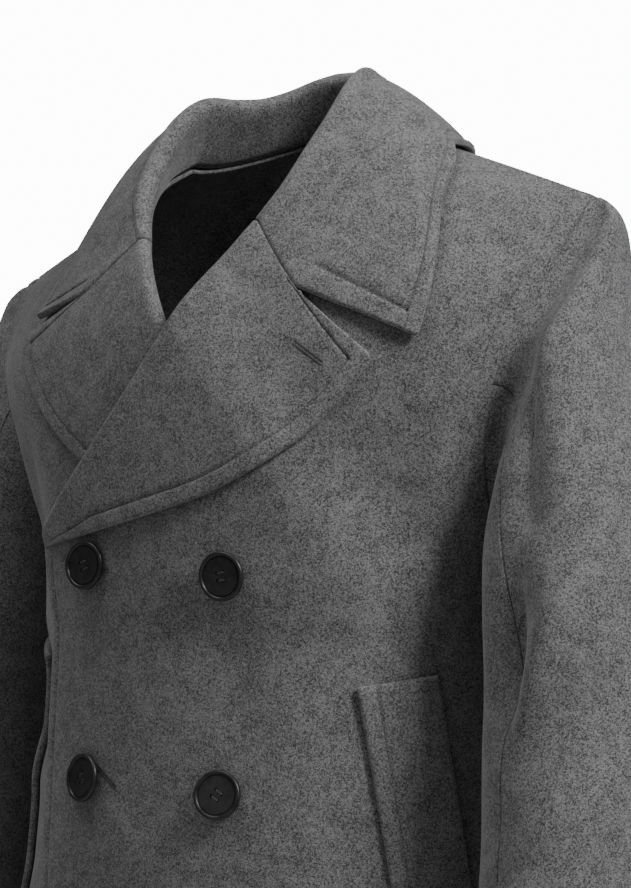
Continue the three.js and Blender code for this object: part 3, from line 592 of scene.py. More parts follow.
# %% Horn
def horn_material():
    material, shader = new_material("Dark horn", 0.34)
    tree = material.node_tree
    place = add_node(tree, "ShaderNodeTexCoord").outputs["Object"]
    streaks = add_noise(tree, place, 190, 4, 0.55)
    ramp = add_node(tree, "ShaderNodeValToRGB")
    ramp.color_ramp.elements[0].color = (0.009, 0.0085, 0.0088, 1)
    ramp.color_ramp.elements[0].position = 0.35
    ramp.color_ramp.elements[1].color = (0.030, 0.028, 0.029, 1)
    ramp.color_ramp.elements[1].position = 0.75
    tree.links.new(streaks, ramp.inputs["Fac"])
    tree.links.new(ramp.outputs["Color"], shader.inputs["Base Color"])
    haze = add_node(tree, "ShaderNodeMapRange")
    haze.inputs["To Min"].default_value = 0.26
    haze.inputs["To Max"].default_value = 0.5
    tree.links.new(add_noise(tree, place, 900, 3, 0.6), haze.inputs["Value"])
    tree.links.new(haze.outputs["Result"], shader.inputs["Roughness"])
    scuffs = add_node(tree, "ShaderNodeBump")
    scuffs.inputs["Strength"].default_value = 0.12
    scuffs.inputs["Distance"].default_value = 0.0002
    tree.links.new(add_noise(tree, place, 1400, 2, 0.5), scuffs.inputs["Height"])
    tree.links.new(scuffs.outputs["Normal"], shader.inputs["Normal"])
    return material


HORN = horn_material()

# %% [markdown]
# ## The fronts
# A front is one cloth with its lapel. Below the break its edge is stitched. Above it, the cloth rolls
# over and lies back on itself. The panel and the lapel are two grids that share the roll line, and
# their corners are merged there, so the roll is one smooth sheet.


# %% Rows of a panel
def panel_rows(face, side, rows, inner_x, first_lines, last_lines, middle_steps):
    """Points of a panel in own-side millimetres, and each point's distance from both row ends."""
    inner = angle_at(face, rows, inner_x)
    at_seam = angle_at(face, rows, table_value(face["seam"], rows))
    outer = np.where(rows <= UNDERARM_ROW, math.pi / 2, at_seam)
    shares = np.linspace(0, 1, 121)
    fine = mix(inner[:, None], outer[:, None], shares[None, :])
    steps = np.linalg.norm(np.diff(form_point(face, rows[:, None], fine), axis=1), axis=2)
    runs = np.concatenate([np.zeros((len(rows), 1)), np.cumsum(steps, axis=1)], axis=1)
    places = np.array([spaced(run[-1], first_lines, last_lines, middle_steps) for run in runs])
    angles = np.array([np.interp(place, run, turn) for place, run, turn in zip(places, runs, fine)])
    row_grid = np.broadcast_to(rows[:, None], angles.shape)
    base, normal = form_point(face, row_grid, angles), form_normal(face, row_grid, angles)
    points = base + normal * cloth_lift(face, side, base[..., 0], base[..., 2])[..., None]
    on_side_seam = rows <= UNDERARM_ROW
    points[on_side_seam, -1, 1] = face["sign"] * SEAM / 2
    points[rows >= RIDGE_ROW, :, 1] = face["sign"] * SEAM / 2
    return points, places, runs[:, -1:] - places


# %% The lapel
EDGE_T = np.linspace(0, 1, 400)
EDGE_RUN = {}
for side, edge in LAPEL_EDGE.items():
    steps = np.linalg.norm(np.diff(table_value(edge, EDGE_T * (len(edge) - 1)), axis=0), axis=1)
    EDGE_RUN[side] = np.concatenate([[0], np.cumsum(steps)])
LAPEL_TOP_SPEED = 232  # mm of edge for a whole share, close to the top edge
LAPEL_STEPS, BEND_STEPS = 40, 9
LAPEL_CORNER = 5.0  # radius of a lapel's point
TURNS_BY = (-0.01, 0.075)  # shares of the roll line between which the lapel rises onto the front


def roll_at(share):
    return table_value(ROLL, share * (len(ROLL) - 1))


def lapel_edge_at(side, share):
    spot = np.interp(share**0.9 * EDGE_RUN[side][-1], EDGE_RUN[side], EDGE_T)
    return table_value(LAPEL_EDGE[side], spot * (len(LAPEL_EDGE[side]) - 1))


def roll_ahead(normal, share):
    """Way that the fold of a lapel points: off the panel and square to the roll line."""
    along = roll_at(np.minimum(share + 0.004, 1)) - roll_at(np.maximum(share - 0.004, 0))
    along3 = np.stack([along[..., 0], np.zeros(along.shape[:-1]), along[..., 1]], axis=-1)
    return unit(np.cross(normal, along3))


def round_corner(first, second, radius):
    """Turns the square corner between two edges into a quarter of a circle."""
    a = np.clip(1 - first / radius, 0, 1)
    b = np.clip(1 - second / radius, 0, 1)
    moved_first = first + radius * (a - a * np.sqrt(1 - b * b / 2))
    moved_second = second + radius * (b - b * np.sqrt(1 - a * a / 2))
    return moved_first, moved_second


def lapel_grid(side, shares):
    roll, edge = roll_at(shares), lapel_edge_at(side, shares)
    weight = (shares**4)[:, None]
    knee = mix(mix(roll, edge, 0.5), np.array(NOTCH[side], float), weight)
    outer_half = np.linalg.norm(edge - knee, axis=1)
    after, before = np.minimum(shares + 0.01, 1), np.maximum(shares - 0.01, 0)
    along = lapel_edge_at(side, after) - lapel_edge_at(side, before)
    rib = edge - knee
    cross = np.abs(rib[:, 0] * along[:, 1] - rib[:, 1] * along[:, 0])
    square = np.clip(cross / np.maximum(outer_half * np.linalg.norm(along, axis=1), 1e-6), 0.4, 1)
    lines = np.asarray(EDGE_LINES, float)
    room = np.minimum(1, 0.8 * outer_half * square / lines[-1])
    from_edge = lines[None, :] * room[:, None]
    from_top = np.broadcast_to(((1 - shares) * LAPEL_TOP_SPEED)[:, None], from_edge.shape)
    moved_edge, moved_top = round_corner(from_edge, from_top, LAPEL_CORNER)
    moved_shares = np.clip(1 - moved_top / LAPEL_TOP_SPEED, 0, 1)
    near = 1 - 0.5 * moved_edge / np.maximum(square * outer_half, 1e-6)[:, None]
    start = near[:, -1:]
    inner = start * (1 - np.linspace(0, 1, LAPEL_STEPS + 1)[1:-1])
    parts = np.concatenate([near, inner, np.zeros((len(shares), 1))], axis=1)
    padding = np.broadcast_to(shares[:, None], (len(shares), parts.shape[1] - near.shape[1]))
    share_grid = np.concatenate([moved_shares, padding], axis=1)
    points = lapel_points(side, share_grid, parts)
    edge_distance = np.full(parts.shape, FAR)
    edge_distance[:, : len(lines)] = lines[None, :]
    return points, edge_distance


def lapel_points(side, share, part):
    roll, edge = roll_at(share), lapel_edge_at(side, share)
    knee = mix(mix(roll, edge, 0.5), np.array(NOTCH[side], float), (share**4)[..., None])
    inner_half = mix(roll, knee, np.clip(part * 2, 0, 1)[..., None])
    outer_half = mix(knee, edge, np.clip(part * 2 - 1, 0, 1)[..., None])
    at = np.where((part < 0.5)[..., None], inner_half, outer_half)
    base, normal = place_on_form(FRONT, at[..., 0], at[..., 1])
    from_fold = np.linalg.norm(at - roll, axis=-1)
    high = lapel_lift(side, at[..., 0], at[..., 1], from_fold)
    low = cloth_lift(FRONT, side, at[..., 0], at[..., 1])
    lift = mix(low, high, smooth_step(*TURNS_BY, share))
    return base + normal * lift[..., None]


def lapel_bend(side, shares):
    roll = roll_at(shares)
    base, normal = place_on_form(FRONT, roll[:, 0], roll[:, 1])
    low = cloth_lift(FRONT, side, roll[:, 0], roll[:, 1])
    high = mix(low, lapel_lift(side, roll[:, 0], roll[:, 1], 0), smooth_step(*TURNS_BY, shares))
    ahead = roll_ahead(normal, shares)
    turns = math.pi * np.arange(BEND_STEPS - 1, 0, -1) / BEND_STEPS
    centre = base + normal * ((low + high) / 2)[:, None]
    radius = ((high - low) / 2)[:, None, None]
    inward = -np.cos(turns)[None, :, None] * normal[:, None, :]
    forward = np.sin(turns)[None, :, None] * ahead[:, None, :]
    return centre[:, None, :] + radius * (inward + forward)


# %% Rows of a front
BODY_STEP, PANEL_STEPS, NECK_STEPS = 4.0, 52, 26
FIRST_SHARES = (0, 0.006, 0.014, 0.026)  # close rows where the lapel starts
EVEN_FROM, EVEN_ROWS = 0.04, 96
NEAR_RIDGE = np.array([0.03, 0.08, 0.16])
ROW_MM = 36  # the distance between rows of the front, close to the shoulder seam


def lapel_shares():
    top_lines = np.asarray(EDGE_LINES, float)[::-1]
    even = np.linspace(EVEN_FROM, 1 - EDGE_LINES[-1] / LAPEL_TOP_SPEED, EVEN_ROWS)
    return np.concatenate([FIRST_SHARES, even, 1 - top_lines[1:] / LAPEL_TOP_SPEED])


def front_rows(shares):
    """Rows from the hem up, the x where each starts, and the height of the lowest above the hem."""
    hem_rise = spaced(BREAK[1] - HEM, SEAM_LINES, (0,), int((BREAK[1] - HEM) / BODY_STEP))[:-1]
    edge_x = np.full(len(hem_rise), float(BREAK[0]))
    roll = roll_at(shares)
    below = row_at(FRONT, edge_x, HEM + hem_rise)
    beside = row_at(FRONT, roll[:, 0], roll[:, 1])
    above = beside[-1] + (RIDGE_ROW - beside[-1]) * np.linspace(0, 1, NECK_STEPS + 1)[1:]
    above = np.sort(np.concatenate([above, RIDGE_ROW - NEAR_RIDGE]))
    neck_x = neckline_x(table_value(FRONT["depth"], above), NECK_FRONT_DEPTH)
    return np.concatenate([below, beside, above]), np.concatenate([edge_x, roll[:, 0], neck_x]), hem_rise


# %% Walls of the panel and the lapel
ARMHOLE_STITCHED = (-150, -118)  # the armhole's groove fades in between these levels
NOTCH_STITCHED = (-0.05, 0.05)  # the groove of the top edge fades out where the notch ends
LAPEL_STITCHED = (0.03, 0.12)  # the groove of the outer edge fades in where the lapel starts
LAPEL_THICKENS = (0, 0.1)  # one cloth becomes two between these shares


def front_share(rows, level, from_inner, from_outer, hem_rise, last):
    """Share of the full wall for each point of the panel."""
    first, index = len(hem_rise), np.arange(len(rows))
    free = np.where((index > first) & (index < last), 0.0, 1.0)[:, None]
    below = np.where(index < first, 1.0, 0.0)[:, None]
    from_hem = np.full(len(rows), FAR)
    from_hem[:first] = hem_rise
    from_end = np.minimum(from_hem, (RIDGE_ROW - rows) * ROW_MM)[:, None]
    share = mix(1, wall_share(from_inner, CLOTH / 2), free) * wall_share(from_outer, CLOTH / 2)
    share = share * wall_share(from_end, CLOTH / 2) + below * groove(from_inner)
    return (share + smooth_step(*ARMHOLE_STITCHED, level) * groove(from_outer)) * CLOTH / DOUBLED


def turned_lapel(side, shares, roll_points, roll_share):
    """The lapel from its edge to the roll line: its points, and their shares of the full wall."""
    lapel, from_edge = lapel_grid(side, shares)
    bend = lapel_bend(side, shares)
    from_top = ((1 - shares) * LAPEL_TOP_SPEED)[:, None]
    to_roll = np.linspace(1, -1, lapel.shape[1] - len(EDGE_LINES))
    past_notch = smooth_step(*NOTCH_STITCHED, np.concatenate([np.ones(len(EDGE_LINES)), to_roll]))
    top_groove = groove(from_top) * past_notch[None, :] * np.where(from_edge < CORNER_FREE, 0, 1)
    side_groove = groove(from_edge) * np.where(from_top < CORNER_FREE, 0, 1)
    lapel_share = wall_share(np.minimum(from_edge, from_top), DOUBLED / 2) + top_groove
    lapel_share = lapel_share + side_groove * smooth_step(*LAPEL_STITCHED, shares)[:, None]
    bend_share = np.ones((len(shares), bend.shape[1])) * wall_share(from_top, DOUBLED / 2)
    thickening = mix(CLOTH / DOUBLED, 1, smooth_step(*LAPEL_THICKENS, shares))[:, None]
    points = np.concatenate([lapel, bend, roll_points], axis=1)
    points[0] = roll_points[0, 0]
    return points, np.concatenate([lapel_share * thickening, bend_share * thickening, roll_share], axis=1)


# %% Stitch and build both fronts
HEM_ROWS_FREE, LAPEL_ROWS_FREE = 3, 12  # rows left unstitched at the hem and at the break
ARMHOLE_STITCHES = (-128, RIDGE_ROW - 0.05)  # above this level and below this row


def armhole_rows(rows, level):
    low, last = ARMHOLE_STITCHES
    return [row for row in range(len(rows)) if level[row, 0] > low and rows[row] < last]


def build_front(side, name, node):
    shares = lapel_shares()
    rows, inner_x, hem_rise = front_rows(shares)
    first, last = len(hem_rise), len(hem_rise) + len(shares)
    points, from_inner, from_outer = panel_rows(
        FRONT, side, rows, inner_x, EDGE_LINES, EDGE_LINES, PANEL_STEPS)
    level = points[:, -1:, 2]
    panel_share = front_share(rows, level, from_inner, from_outer, hem_rise, last)
    lapel, lapel_share = turned_lapel(side, shares, points[first:last, :1], panel_share[first:last, :1])
    placed, turned = settle(points, side), settle(lapel, side)
    piece = make_cloth(name, node, DOUBLED, (placed, panel_share), (turned, lapel_share))

    facing, outward = grid_normals(placed) * side, -grid_normals(turned) * side
    edge = (slice(HEM_ROWS_FREE, first), STITCH_LINE)
    armhole = (armhole_rows(rows, level), -1 - STITCH_LINE)
    top_row = len(shares) - 1 - STITCH_LINE
    outer = (slice(LAPEL_ROWS_FREE, top_row), STITCH_LINE)
    lapel_columns = turned.shape[1] - BEND_STEPS
    top = (top_row, slice(STITCH_LINE, len(EDGE_LINES) + (lapel_columns - len(EDGE_LINES)) // 2))
    stitches = stitch_rows(
        name, node, (CLOTH, placed[edge], facing[edge]), (CLOTH, placed[armhole], facing[armhole]),
        (DOUBLED, turned[outer], outward[outer]), (DOUBLED, turned[top], outward[top]))


build_front(LEFT, "wool_front_left", "front_left")
build_front(RIGHT, "wool_front_right", "front_right")

# %% [markdown]
# ## The backs
# Two backs meet in a middle seam. They are plain panels with a rounded edge at each seam, so the
# seams read as fine grooves, and they have their own folds below the shoulder blades and at the hem.

# %% Build both backs
BACK_NEAR_RIDGE = np.array([0.01, 0.03, 0.06])
BACK_ROW_MM = 58  # the distance between rows of the back, close to the shoulder seam
BODY_ROWS, CHEST_ROWS, TOP_ROWS, BACK_STEPS = 112, 60, 30, 54


def build_back(side, name, node):
    neck_row = row_at_depth(BACK, NECK_BACK_DEPTH, RIDGE_ROW - 3)
    hem_rows = row_at(BACK, 0, HEM + np.asarray(SEAM_LINES, float))
    body = np.linspace(hem_rows[-1], UNDERARM_ROW, BODY_ROWS)[1:]
    chest = np.linspace(UNDERARM_ROW, neck_row, CHEST_ROWS)[1:]
    top = np.linspace(neck_row, RIDGE_ROW, TOP_ROWS)[1:]
    top = np.sort(np.concatenate([top, RIDGE_ROW - BACK_NEAR_RIDGE]))
    rows = np.concatenate([hem_rows, body, chest, top])
    neck_x = neckline_x(table_value(BACK["depth"], rows), NECK_BACK_DEPTH)
    inner_x = np.where(rows <= neck_row, SEAM / 2, neck_x)
    points, from_inner, from_outer = panel_rows(
        BACK, side, rows, inner_x, SEAM_LINES, EDGE_LINES, BACK_STEPS)
    level = points[:, -1:, 2]
    from_hem = np.full(len(rows), FAR)
    from_hem[: len(SEAM_LINES)] = SEAM_LINES
    from_end = np.minimum(from_hem, (RIDGE_ROW - rows) * BACK_ROW_MM)[:, None]
    share = wall_share(from_inner, CLOTH / 2) * wall_share(from_outer, CLOTH / 2)
    share = share * wall_share(from_end, CLOTH / 2)
    share = share + smooth_step(*ARMHOLE_STITCHED, level) * groove(from_outer)
    placed = settle(points, side)
    piece = make_cloth(name, node, CLOTH, (placed, share))
    facing = -grid_normals(placed) * side
    armhole = (armhole_rows(rows, level), -1 - STITCH_LINE)
    stitches = stitch_rows(name, node, (CLOTH, placed[armhole], facing[armhole]))


build_back(LEFT, "wool_back_left", "back_left")
build_back(RIGHT, "wool_back_right", "back_right")

# %% [markdown]
# ## The collar
# The collar stands up from the neck seam, folds over, and falls onto the shoulders. Each station
# across it is a rib: the stand, half a circle for the fold, and the fall. Near the front the ribs lie
# flat on the fronts, like the lapels. `keep_clear` lifts any point that would sink into a panel.

# %% Collar sizes
STAND_FOLD_RADIUS = 5.5
END_SPRING = 2.4  # how far the front ends of the collar stand off the coat
GORGE_GAP = 0.55
COLLAR_EASE = 1.4  # how much higher than at rest the collar rides over the shoulders
SHOULDER_STATION, FRONT_STATIONS = 4.7, 3
COLLAR_STATIONS = (
    # fold, outer edge on its face, face, and how far the fall bows out
    ((45, -93, -44), COLLAR_TIP[LEFT], FRONT, 0),
    ((55, -81, -24), (158, -93), FRONT, 1),
    ((62, -67, 0), (154, -68), FRONT, 2),
    ((66, -48, 24), (146, -43), FRONT, 4),
    ((66, -30, 43), (138, -20), FRONT, 5),
    ((63, -10, 55), (124, -1), FRONT, 5),
    ((55, 12, 55), (92, -3), BACK, 4),
    ((46, 30, 56), (69, -7), BACK, 4),
    ((33, 42, 60), (49, -8), BACK, 5),
    ((17, 49, 65), (27, -8), BACK, 5),
    ((0, 51, 67), (0, -8), BACK, 5),
)
RIGHT_EDGES = (COLLAR_TIP[RIGHT], (132, -72), (129, -58), (127, -40), (126, -20))
LAST_STATION = len(COLLAR_STATIONS) - 1
STATION_MM = 25  # the distance between stations at the outer edge


# %% Keep the collar clear of the panels
def clearance_tree(side):
    spots = []
    for face in (FRONT, BACK):
        rows, angles = np.meshgrid(np.arange(7, RIDGE_ROW, 0.05), np.arange(0, math.pi / 2, 0.0125))
        base, normal = form_point(face, rows, angles), form_normal(face, rows, angles)
        lift = cloth_lift(face, side, base[..., 0], base[..., 2]) + LAPEL_REST + COLLAR_EASE
        spots.append((base.reshape(-1, 3), normal.reshape(-1, 3), lift.reshape(-1)))
    base, normal, lift = (np.concatenate(parts) for parts in zip(*spots))
    tree = KDTree(len(base))
    for number, point in enumerate(base):
        tree.insert(point, number)
    tree.balance()
    return tree, base, normal, lift


def keep_clear(points, clearance):
    tree, base, normal, lift = clearance
    for point in points:
        number = tree.find(point)[1]
        missing = lift[number] - (point - base[number]).dot(normal[number])
        if missing > 0:
            point += normal[number] * missing
    return points


# %% One station of the collar
def neck_seam(place):
    on_front = place <= SHOULDER_STATION
    face = FRONT if on_front else BACK
    low = row_at(FRONT, *GORGE) if on_front else row_at_depth(BACK, NECK_BACK_DEPTH, RIDGE_ROW - 3)
    back_share = (LAST_STATION - place) / (LAST_STATION - SHOULDER_STATION)
    row = mix(low, RIDGE_ROW, place / SHOULDER_STATION if on_front else back_share)
    depth = NECK_FRONT_DEPTH if on_front else NECK_BACK_DEPTH
    x = GORGE[0] if place == 0 else neckline_x(table_value(face["depth"], row), depth)
    angle = angle_at(face, row, min(x, NECK_WIDTH))
    normal = form_normal(face, row, angle)
    return form_point(face, row, angle) + normal * CLOTH / 2, normal


# %% The fold of one station, and its stand
STAND_LINES, FOLD_STEPS, FALL_STEPS = 9, 12, 46
COLLAR_CORNER = 5.5  # radius of the collar's points
END_RUN, FALL_SLACK = 158, 1.04  # length of the front end, and how much longer than straight the fall is
LAID_STATIONS = 2  # this many stations from the front end are laid flat, fading out
SPRING_FROM = 0.45


def collar_fold(side, place, folds):
    """Centre and radius of the fold, and the ways along, out of and ahead of it."""
    gorge, gorge_normal = place_on_form(FRONT, *map(float, GORGE))
    low = cloth_lift(FRONT, side, *GORGE)
    high = lapel_lift(side, *GORGE, 0)
    fade = max(1 - place / FRONT_STATIONS, 0) ** 2
    table_fold = table_value(folds, place)
    along = unit(table_value(folds, place + 0.05) - table_value(folds, place - 0.05))
    roll_along = np.cross(roll_ahead(gorge_normal, np.float64(1)), gorge_normal)
    along = unit(mix(along, roll_along, fade))
    outward = mix(unit(np.array([table_fold[0], table_fold[1], 0])), gorge_normal, fade)
    outward = unit(outward - along * outward.dot(along))
    ahead = unit(np.cross(outward, along))
    radius = mix(STAND_FOLD_RADIUS, (high - low) / 2, fade)
    centre = table_fold - ahead * radius * (1 - fade)
    centre = centre + (gorge + gorge_normal * (low + high) / 2 - folds[0] + along * GORGE_GAP) * fade
    return centre, radius, along, outward, ahead


def collar_stand(place, stand_top):
    seam, seam_normal = neck_seam(place)
    rise = unit(stand_top - seam)
    start = seam + rise * (SEAM + (CLOTH + DOUBLED) / 2 * abs(rise.dot(seam_normal)))
    if place == 0:
        start = stand_top
    return mix(start, stand_top, np.linspace(0, 1, STAND_LINES)[:-1, None])


# %% The fall of one station
def hanging_fall(place, shares, fall_top, edge, outward, ahead):
    """The fall as it drops from its fold, bowed out in the middle."""
    bow = table_value([station[3] for station in COLLAR_STATIONS], place)
    middle = mix(fall_top, edge, 0.5) + outward * bow + ahead * bow / 2
    control = 2 * middle - fall_top / 2 - edge / 2
    return (1 - shares) ** 2 * fall_top + 2 * shares * (1 - shares) * control + shares**2 * edge


def laid_fall(side, place, shares):
    """The fall as it lies flat on the front, from the gorge by way of the notch to its point."""
    gorge, notch, tip = np.array(GORGE), np.array(NOTCH[side]), np.array(COLLAR_TIP[side])
    rib = np.where(shares < 0.5, mix(gorge, notch, shares * 2), mix(notch, tip, shares * 2 - 1))
    base, normal = place_on_form(FRONT, rib[:, 0], rib[:, 1])
    from_gorge = np.hypot(rib[:, 0] - GORGE[0], rib[:, 1] - GORGE[1])
    lift = lapel_lift(side, rib[:, 0], rib[:, 1], from_gorge)
    near_end = max(1 - place / LAID_STATIONS, 0)
    spring = END_SPRING * smooth_step(SPRING_FROM, 1, shares[:, 0]) * near_end
    return base + normal * (lift + spring)[:, None]


def collar_station(side, place, folds, edges, clearance):
    centre, radius, along, outward, ahead = collar_fold(side, place, folds)
    turns = math.pi * np.arange(FOLD_STEPS + 1)[:, None] / FOLD_STEPS
    bend = centre + radius * (ahead * np.sin(turns) - outward * np.cos(turns))
    fall_top, edge = centre + outward * radius, table_value(edges, place)
    run = mix(END_RUN, np.linalg.norm(edge - fall_top) * FALL_SLACK, min(place / LAID_STATIONS, 1))
    lines = np.asarray(EDGE_LINES, float)
    moved, _ = round_corner(lines, np.full(len(lines), place * STATION_MM), COLLAR_CORNER)
    even = np.linspace(0, 1 - lines[-1] / run, FALL_STEPS + 1)[1:-1]
    shares = np.concatenate([even, 1 - moved[::-1] / run])[:, None]
    fall = laid_fall(side, place, shares) + along * GORGE_GAP
    if place > 0:
        free = keep_clear(hanging_fall(place, shares, fall_top, edge, outward, ahead), clearance)
        laid = keep_clear(fall + edge - edges[0], clearance)
        fall = mix(free, laid, max(1 - place / LAID_STATIONS, 0) ** 2)
    return np.concatenate([collar_stand(place, centre - outward * radius), bend, fall])


# %% Build the collar
COLLAR_MIDDLE_STEPS = 86
NOTCH_SHARE = 0.56  # share of the end edge that lies behind the notch


def half_collar(side):
    folds = np.array([station[0] for station in COLLAR_STATIONS], float)
    edges = []
    for number, (_, (x, z), face, _) in enumerate(COLLAR_STATIONS):
        if side == RIGHT and number < len(RIGHT_EDGES):
            x, z = RIGHT_EDGES[number]
        base, normal = place_on_form(face, float(x), float(z))
        edges.append(base + normal * (cloth_lift(face, side, x, z) + LAPEL_REST + COLLAR_EASE))
    clearance = clearance_tree(side)
    near = np.asarray(EDGE_LINES, float) / STATION_MM
    places = np.concatenate([near, np.linspace(near[-1], LAST_STATION, COLLAR_MIDDLE_STEPS)[1:]])
    stations = [collar_station(side, place, folds, np.array(edges), clearance) for place in places]
    return settle(np.array(stations), side), places


def collar_wall(places, columns):
    """Share of the full wall: rounded at every edge, with a groove beside the outer and end edges."""
    from_ends = np.concatenate([places, places[:-1][::-1]])[:, None] * STATION_MM
    from_outer, from_seam = np.full(columns, FAR), np.full(columns, FAR)
    from_outer[-len(EDGE_LINES):] = EDGE_LINES[::-1]
    from_seam[:STAND_LINES] = np.linspace(0, 30, STAND_LINES)
    down_fall = np.clip((np.arange(columns) - STAND_LINES - FOLD_STEPS) / FALL_STEPS, 0, 1)
    past_notch = smooth_step(0.5, NOTCH_SHARE, down_fall)[None, :]
    near_edge = np.minimum(np.minimum(from_ends, from_outer[None, :]), from_seam[None, :])
    share = wall_share(near_edge, DOUBLED / 2)
    share += groove(from_outer)[None, :] * np.where(from_ends < CORNER_FREE, 0, 1)
    share += groove(from_ends) * past_notch * np.where(from_outer < CORNER_FREE, 0, 1)[None, :]
    return share


left_half, collar_places = half_collar(LEFT)
right_half, _ = half_collar(RIGHT)
middle_station = (left_half[-1] + right_half[-1]) / 2
middle_station[:, 0] = 0
collar_points = np.concatenate([left_half[:-1], middle_station[None], right_half[:-1][::-1]])
stations, columns = collar_points.shape[:2]
collar_share = collar_wall(collar_places, columns)
collar = make_cloth("wool_collar", "collar", DOUBLED, (collar_points, collar_share))

# %% Stitch the collar
collar_out = grid_normals(collar_points)
if collar_out[stations // 2, -20, 1] < 0:
    collar_out = -collar_out
outer_line = columns - 1 - STITCH_LINE
notch_line = STAND_LINES + FOLD_STEPS + round(NOTCH_SHARE * FALL_STEPS)
collar_rows = [(slice(STITCH_LINE, stations - STITCH_LINE), outer_line)]
for station in (STITCH_LINE, stations - 1 - STITCH_LINE):
    collar_rows.append((station, slice(notch_line, outer_line + 1)))
collar_stitches = stitch_rows(
    "wool_collar", "collar", *((DOUBLED, collar_points[row], collar_out[row]) for row in collar_rows))

# %% [markdown]
# ## The sleeves
# A tailored sleeve has a top piece and an under piece. It starts at the armhole, and bends forward at
# the elbow. `sleeve_path` runs down the arm at one turn round it, from the armhole to the cuff, and
# `sleeve_grid` puts the folds on it. Those at the inside of the elbow are deep, and each sleeve has
# its own.

# %% Sleeve sizes and folds
# centre x, y, z, half width across, half width fore, and rise of the outer side
ARM_SECTIONS = (
    (213, -7, -170, 32, 63, 70),
    (218, -15, -208, 38, 71, 56),
    (229, -23, -257, 45, 76, 34),
    (238, -31, -322, 50, 75, 16),
    (243, -42, -400, 51, 71, 4),
    (246, -58, -480, 49, 67, 0),
    (249, -78, -562, 46, 62, 0),
    (251, -99, -644, 44, 57, 0),
)
FRONT_SLEEVE_SEAM, BACK_SLEEVE_SEAM = 0.3, 0.72
ARM_ROUND = 380  # mm of cloth round an arm
ARC_START = 0.28  # turns behind the top of the shoulder where the arcs of the folds start anew
TUCK, TUCK_DEPTH = 1.2, 1.7  # how far a sleeve reaches in behind the edge of the body
UNDERARM_GAP = 1.5  # under the arm it stands off the body instead
ROLL_AWAY, ROLL_RISE = (10, 6), (-0.4, 5)  # of the sleeve head, on the shoulder and under the arm
CAP_SHARE, CAP_OUT = 0.3, 4  # where the sleeve head is fullest, and by how much
# Folds, as millimetres round the arm and levels: start, end, out, width
SLEEVE_FOLDS = {
    LEFT: (
        ((80, -125), (86, -240), -15.0, 27),
        ((106, -205), (113, -350), -7.0, 20),
        ((86, -240), (120, -335), -13.0, 21),
        ((46, -150), (54, -235), 3.0, 13),
        ((52, -238), (106, -345), 6.0, 11),
        ((30, -300), (114, -352), -3.5, 16),
        ((30, -355), (114, -470), 5.0, 20),
        ((38, -300), (137, -420), -5.0, 24),
        ((70, -400), (150, -446), -3.5, 13),
        ((-20, -250), (20, -330), 2.4, 22),
        ((236, -345), (319, -420), -5.0, 24),
        ((251, -400), (342, -470), 4.0, 20),
        ((290, -250), (330, -330), 2.5, 20),
        ((20, -500), (60, -600), 2.2, 20),
        ((96, -520), (110, -620), -2.6, 16),
    ),
    RIGHT: (
        ((80, -130), (86, -240), -11.0, 28),
        ((104, -215), (112, -344), -6.0, 21),
        ((86, -240), (122, -328), -9.0, 21),
        ((48, -160), (56, -240), 2.6, 13),
        ((54, -244), (102, -350), 5.4, 12),
        ((34, -306), (110, -362), -3.2, 17),
        ((30, -362), (118, -476), 5.2, 20),
        ((38, -310), (137, -428), -5.0, 24),
        ((74, -410), (148, -452), -3.2, 13),
        ((-16, -262), (24, -340), 2.2, 22),
        ((236, -350), (319, -428), -5.2, 24),
        ((251, -408), (342, -476), 4.2, 20),
        ((296, -256), (334, -338), 2.4, 20),
        ((24, -508), (64, -604), 2.4, 20),
        ((92, -516), (112, -626), -2.4, 16),
    ),
}


# %% Places on a sleeve
SMOOTH_RINGS = 3  # rings next to the armhole over which the folds fade in


def armhole_place(turn):
    """Place on the armhole for a turn from the top of the shoulder, down the front and up the back."""
    on_front = (turn <= 0.5)[..., None]
    row = mix(RIDGE_ROW, UNDERARM_ROW, 1 - np.abs(turn - 0.5) * 2)
    found = []
    for face in (FRONT, BACK):
        seam = angle_at(face, row, table_value(face["seam"], row))
        angle = np.where(row <= UNDERARM_ROW, math.pi / 2, seam)
        normal = form_normal(face, row, angle)
        found.append((form_point(face, row, angle) + normal * CLOTH / 2, normal))
    return [np.where(on_front, front, back) for front, back in zip(*found)]


def sleeve_path(turn, side):
    whole = turn - np.floor(turn)
    point, normal = armhole_place(whole)
    ahead, behind = armhole_place((whole + 0.01) % 1)[0], armhole_place((whole + 0.99) % 1)[0]
    away = unit(np.cross(normal, ahead - behind))
    under = smooth_step(0.3, 0.5, 0.5 - np.abs(whole - 0.5))[..., None]
    start = point + away * mix(-TUCK, UNDERARM_GAP, under) - normal * TUCK_DEPTH * (1 - under)
    roll = point + away * mix(*ROLL_AWAY, under) + normal * mix(*ROLL_RISE, under)
    cosine, sine = np.cos(whole * 2 * math.pi), np.sin(whole * 2 * math.pi)
    rings = []
    for x, y, z, across, fore, rise in ARM_SECTIONS:
        ring = np.stack([x + across * cosine, y - fore * sine, z + rise * cosine], axis=-1)
        rings.append(settle(ring, side, arm=True) / MM)
    first = settle(roll, side) / MM
    fullness = (away + normal) * CAP_OUT * (1 - under) * (side, 1, 1)
    cap = mix(first, rings[0], CAP_SHARE) + fullness
    return np.array([settle(start, side) / MM, first, cap, *rings])


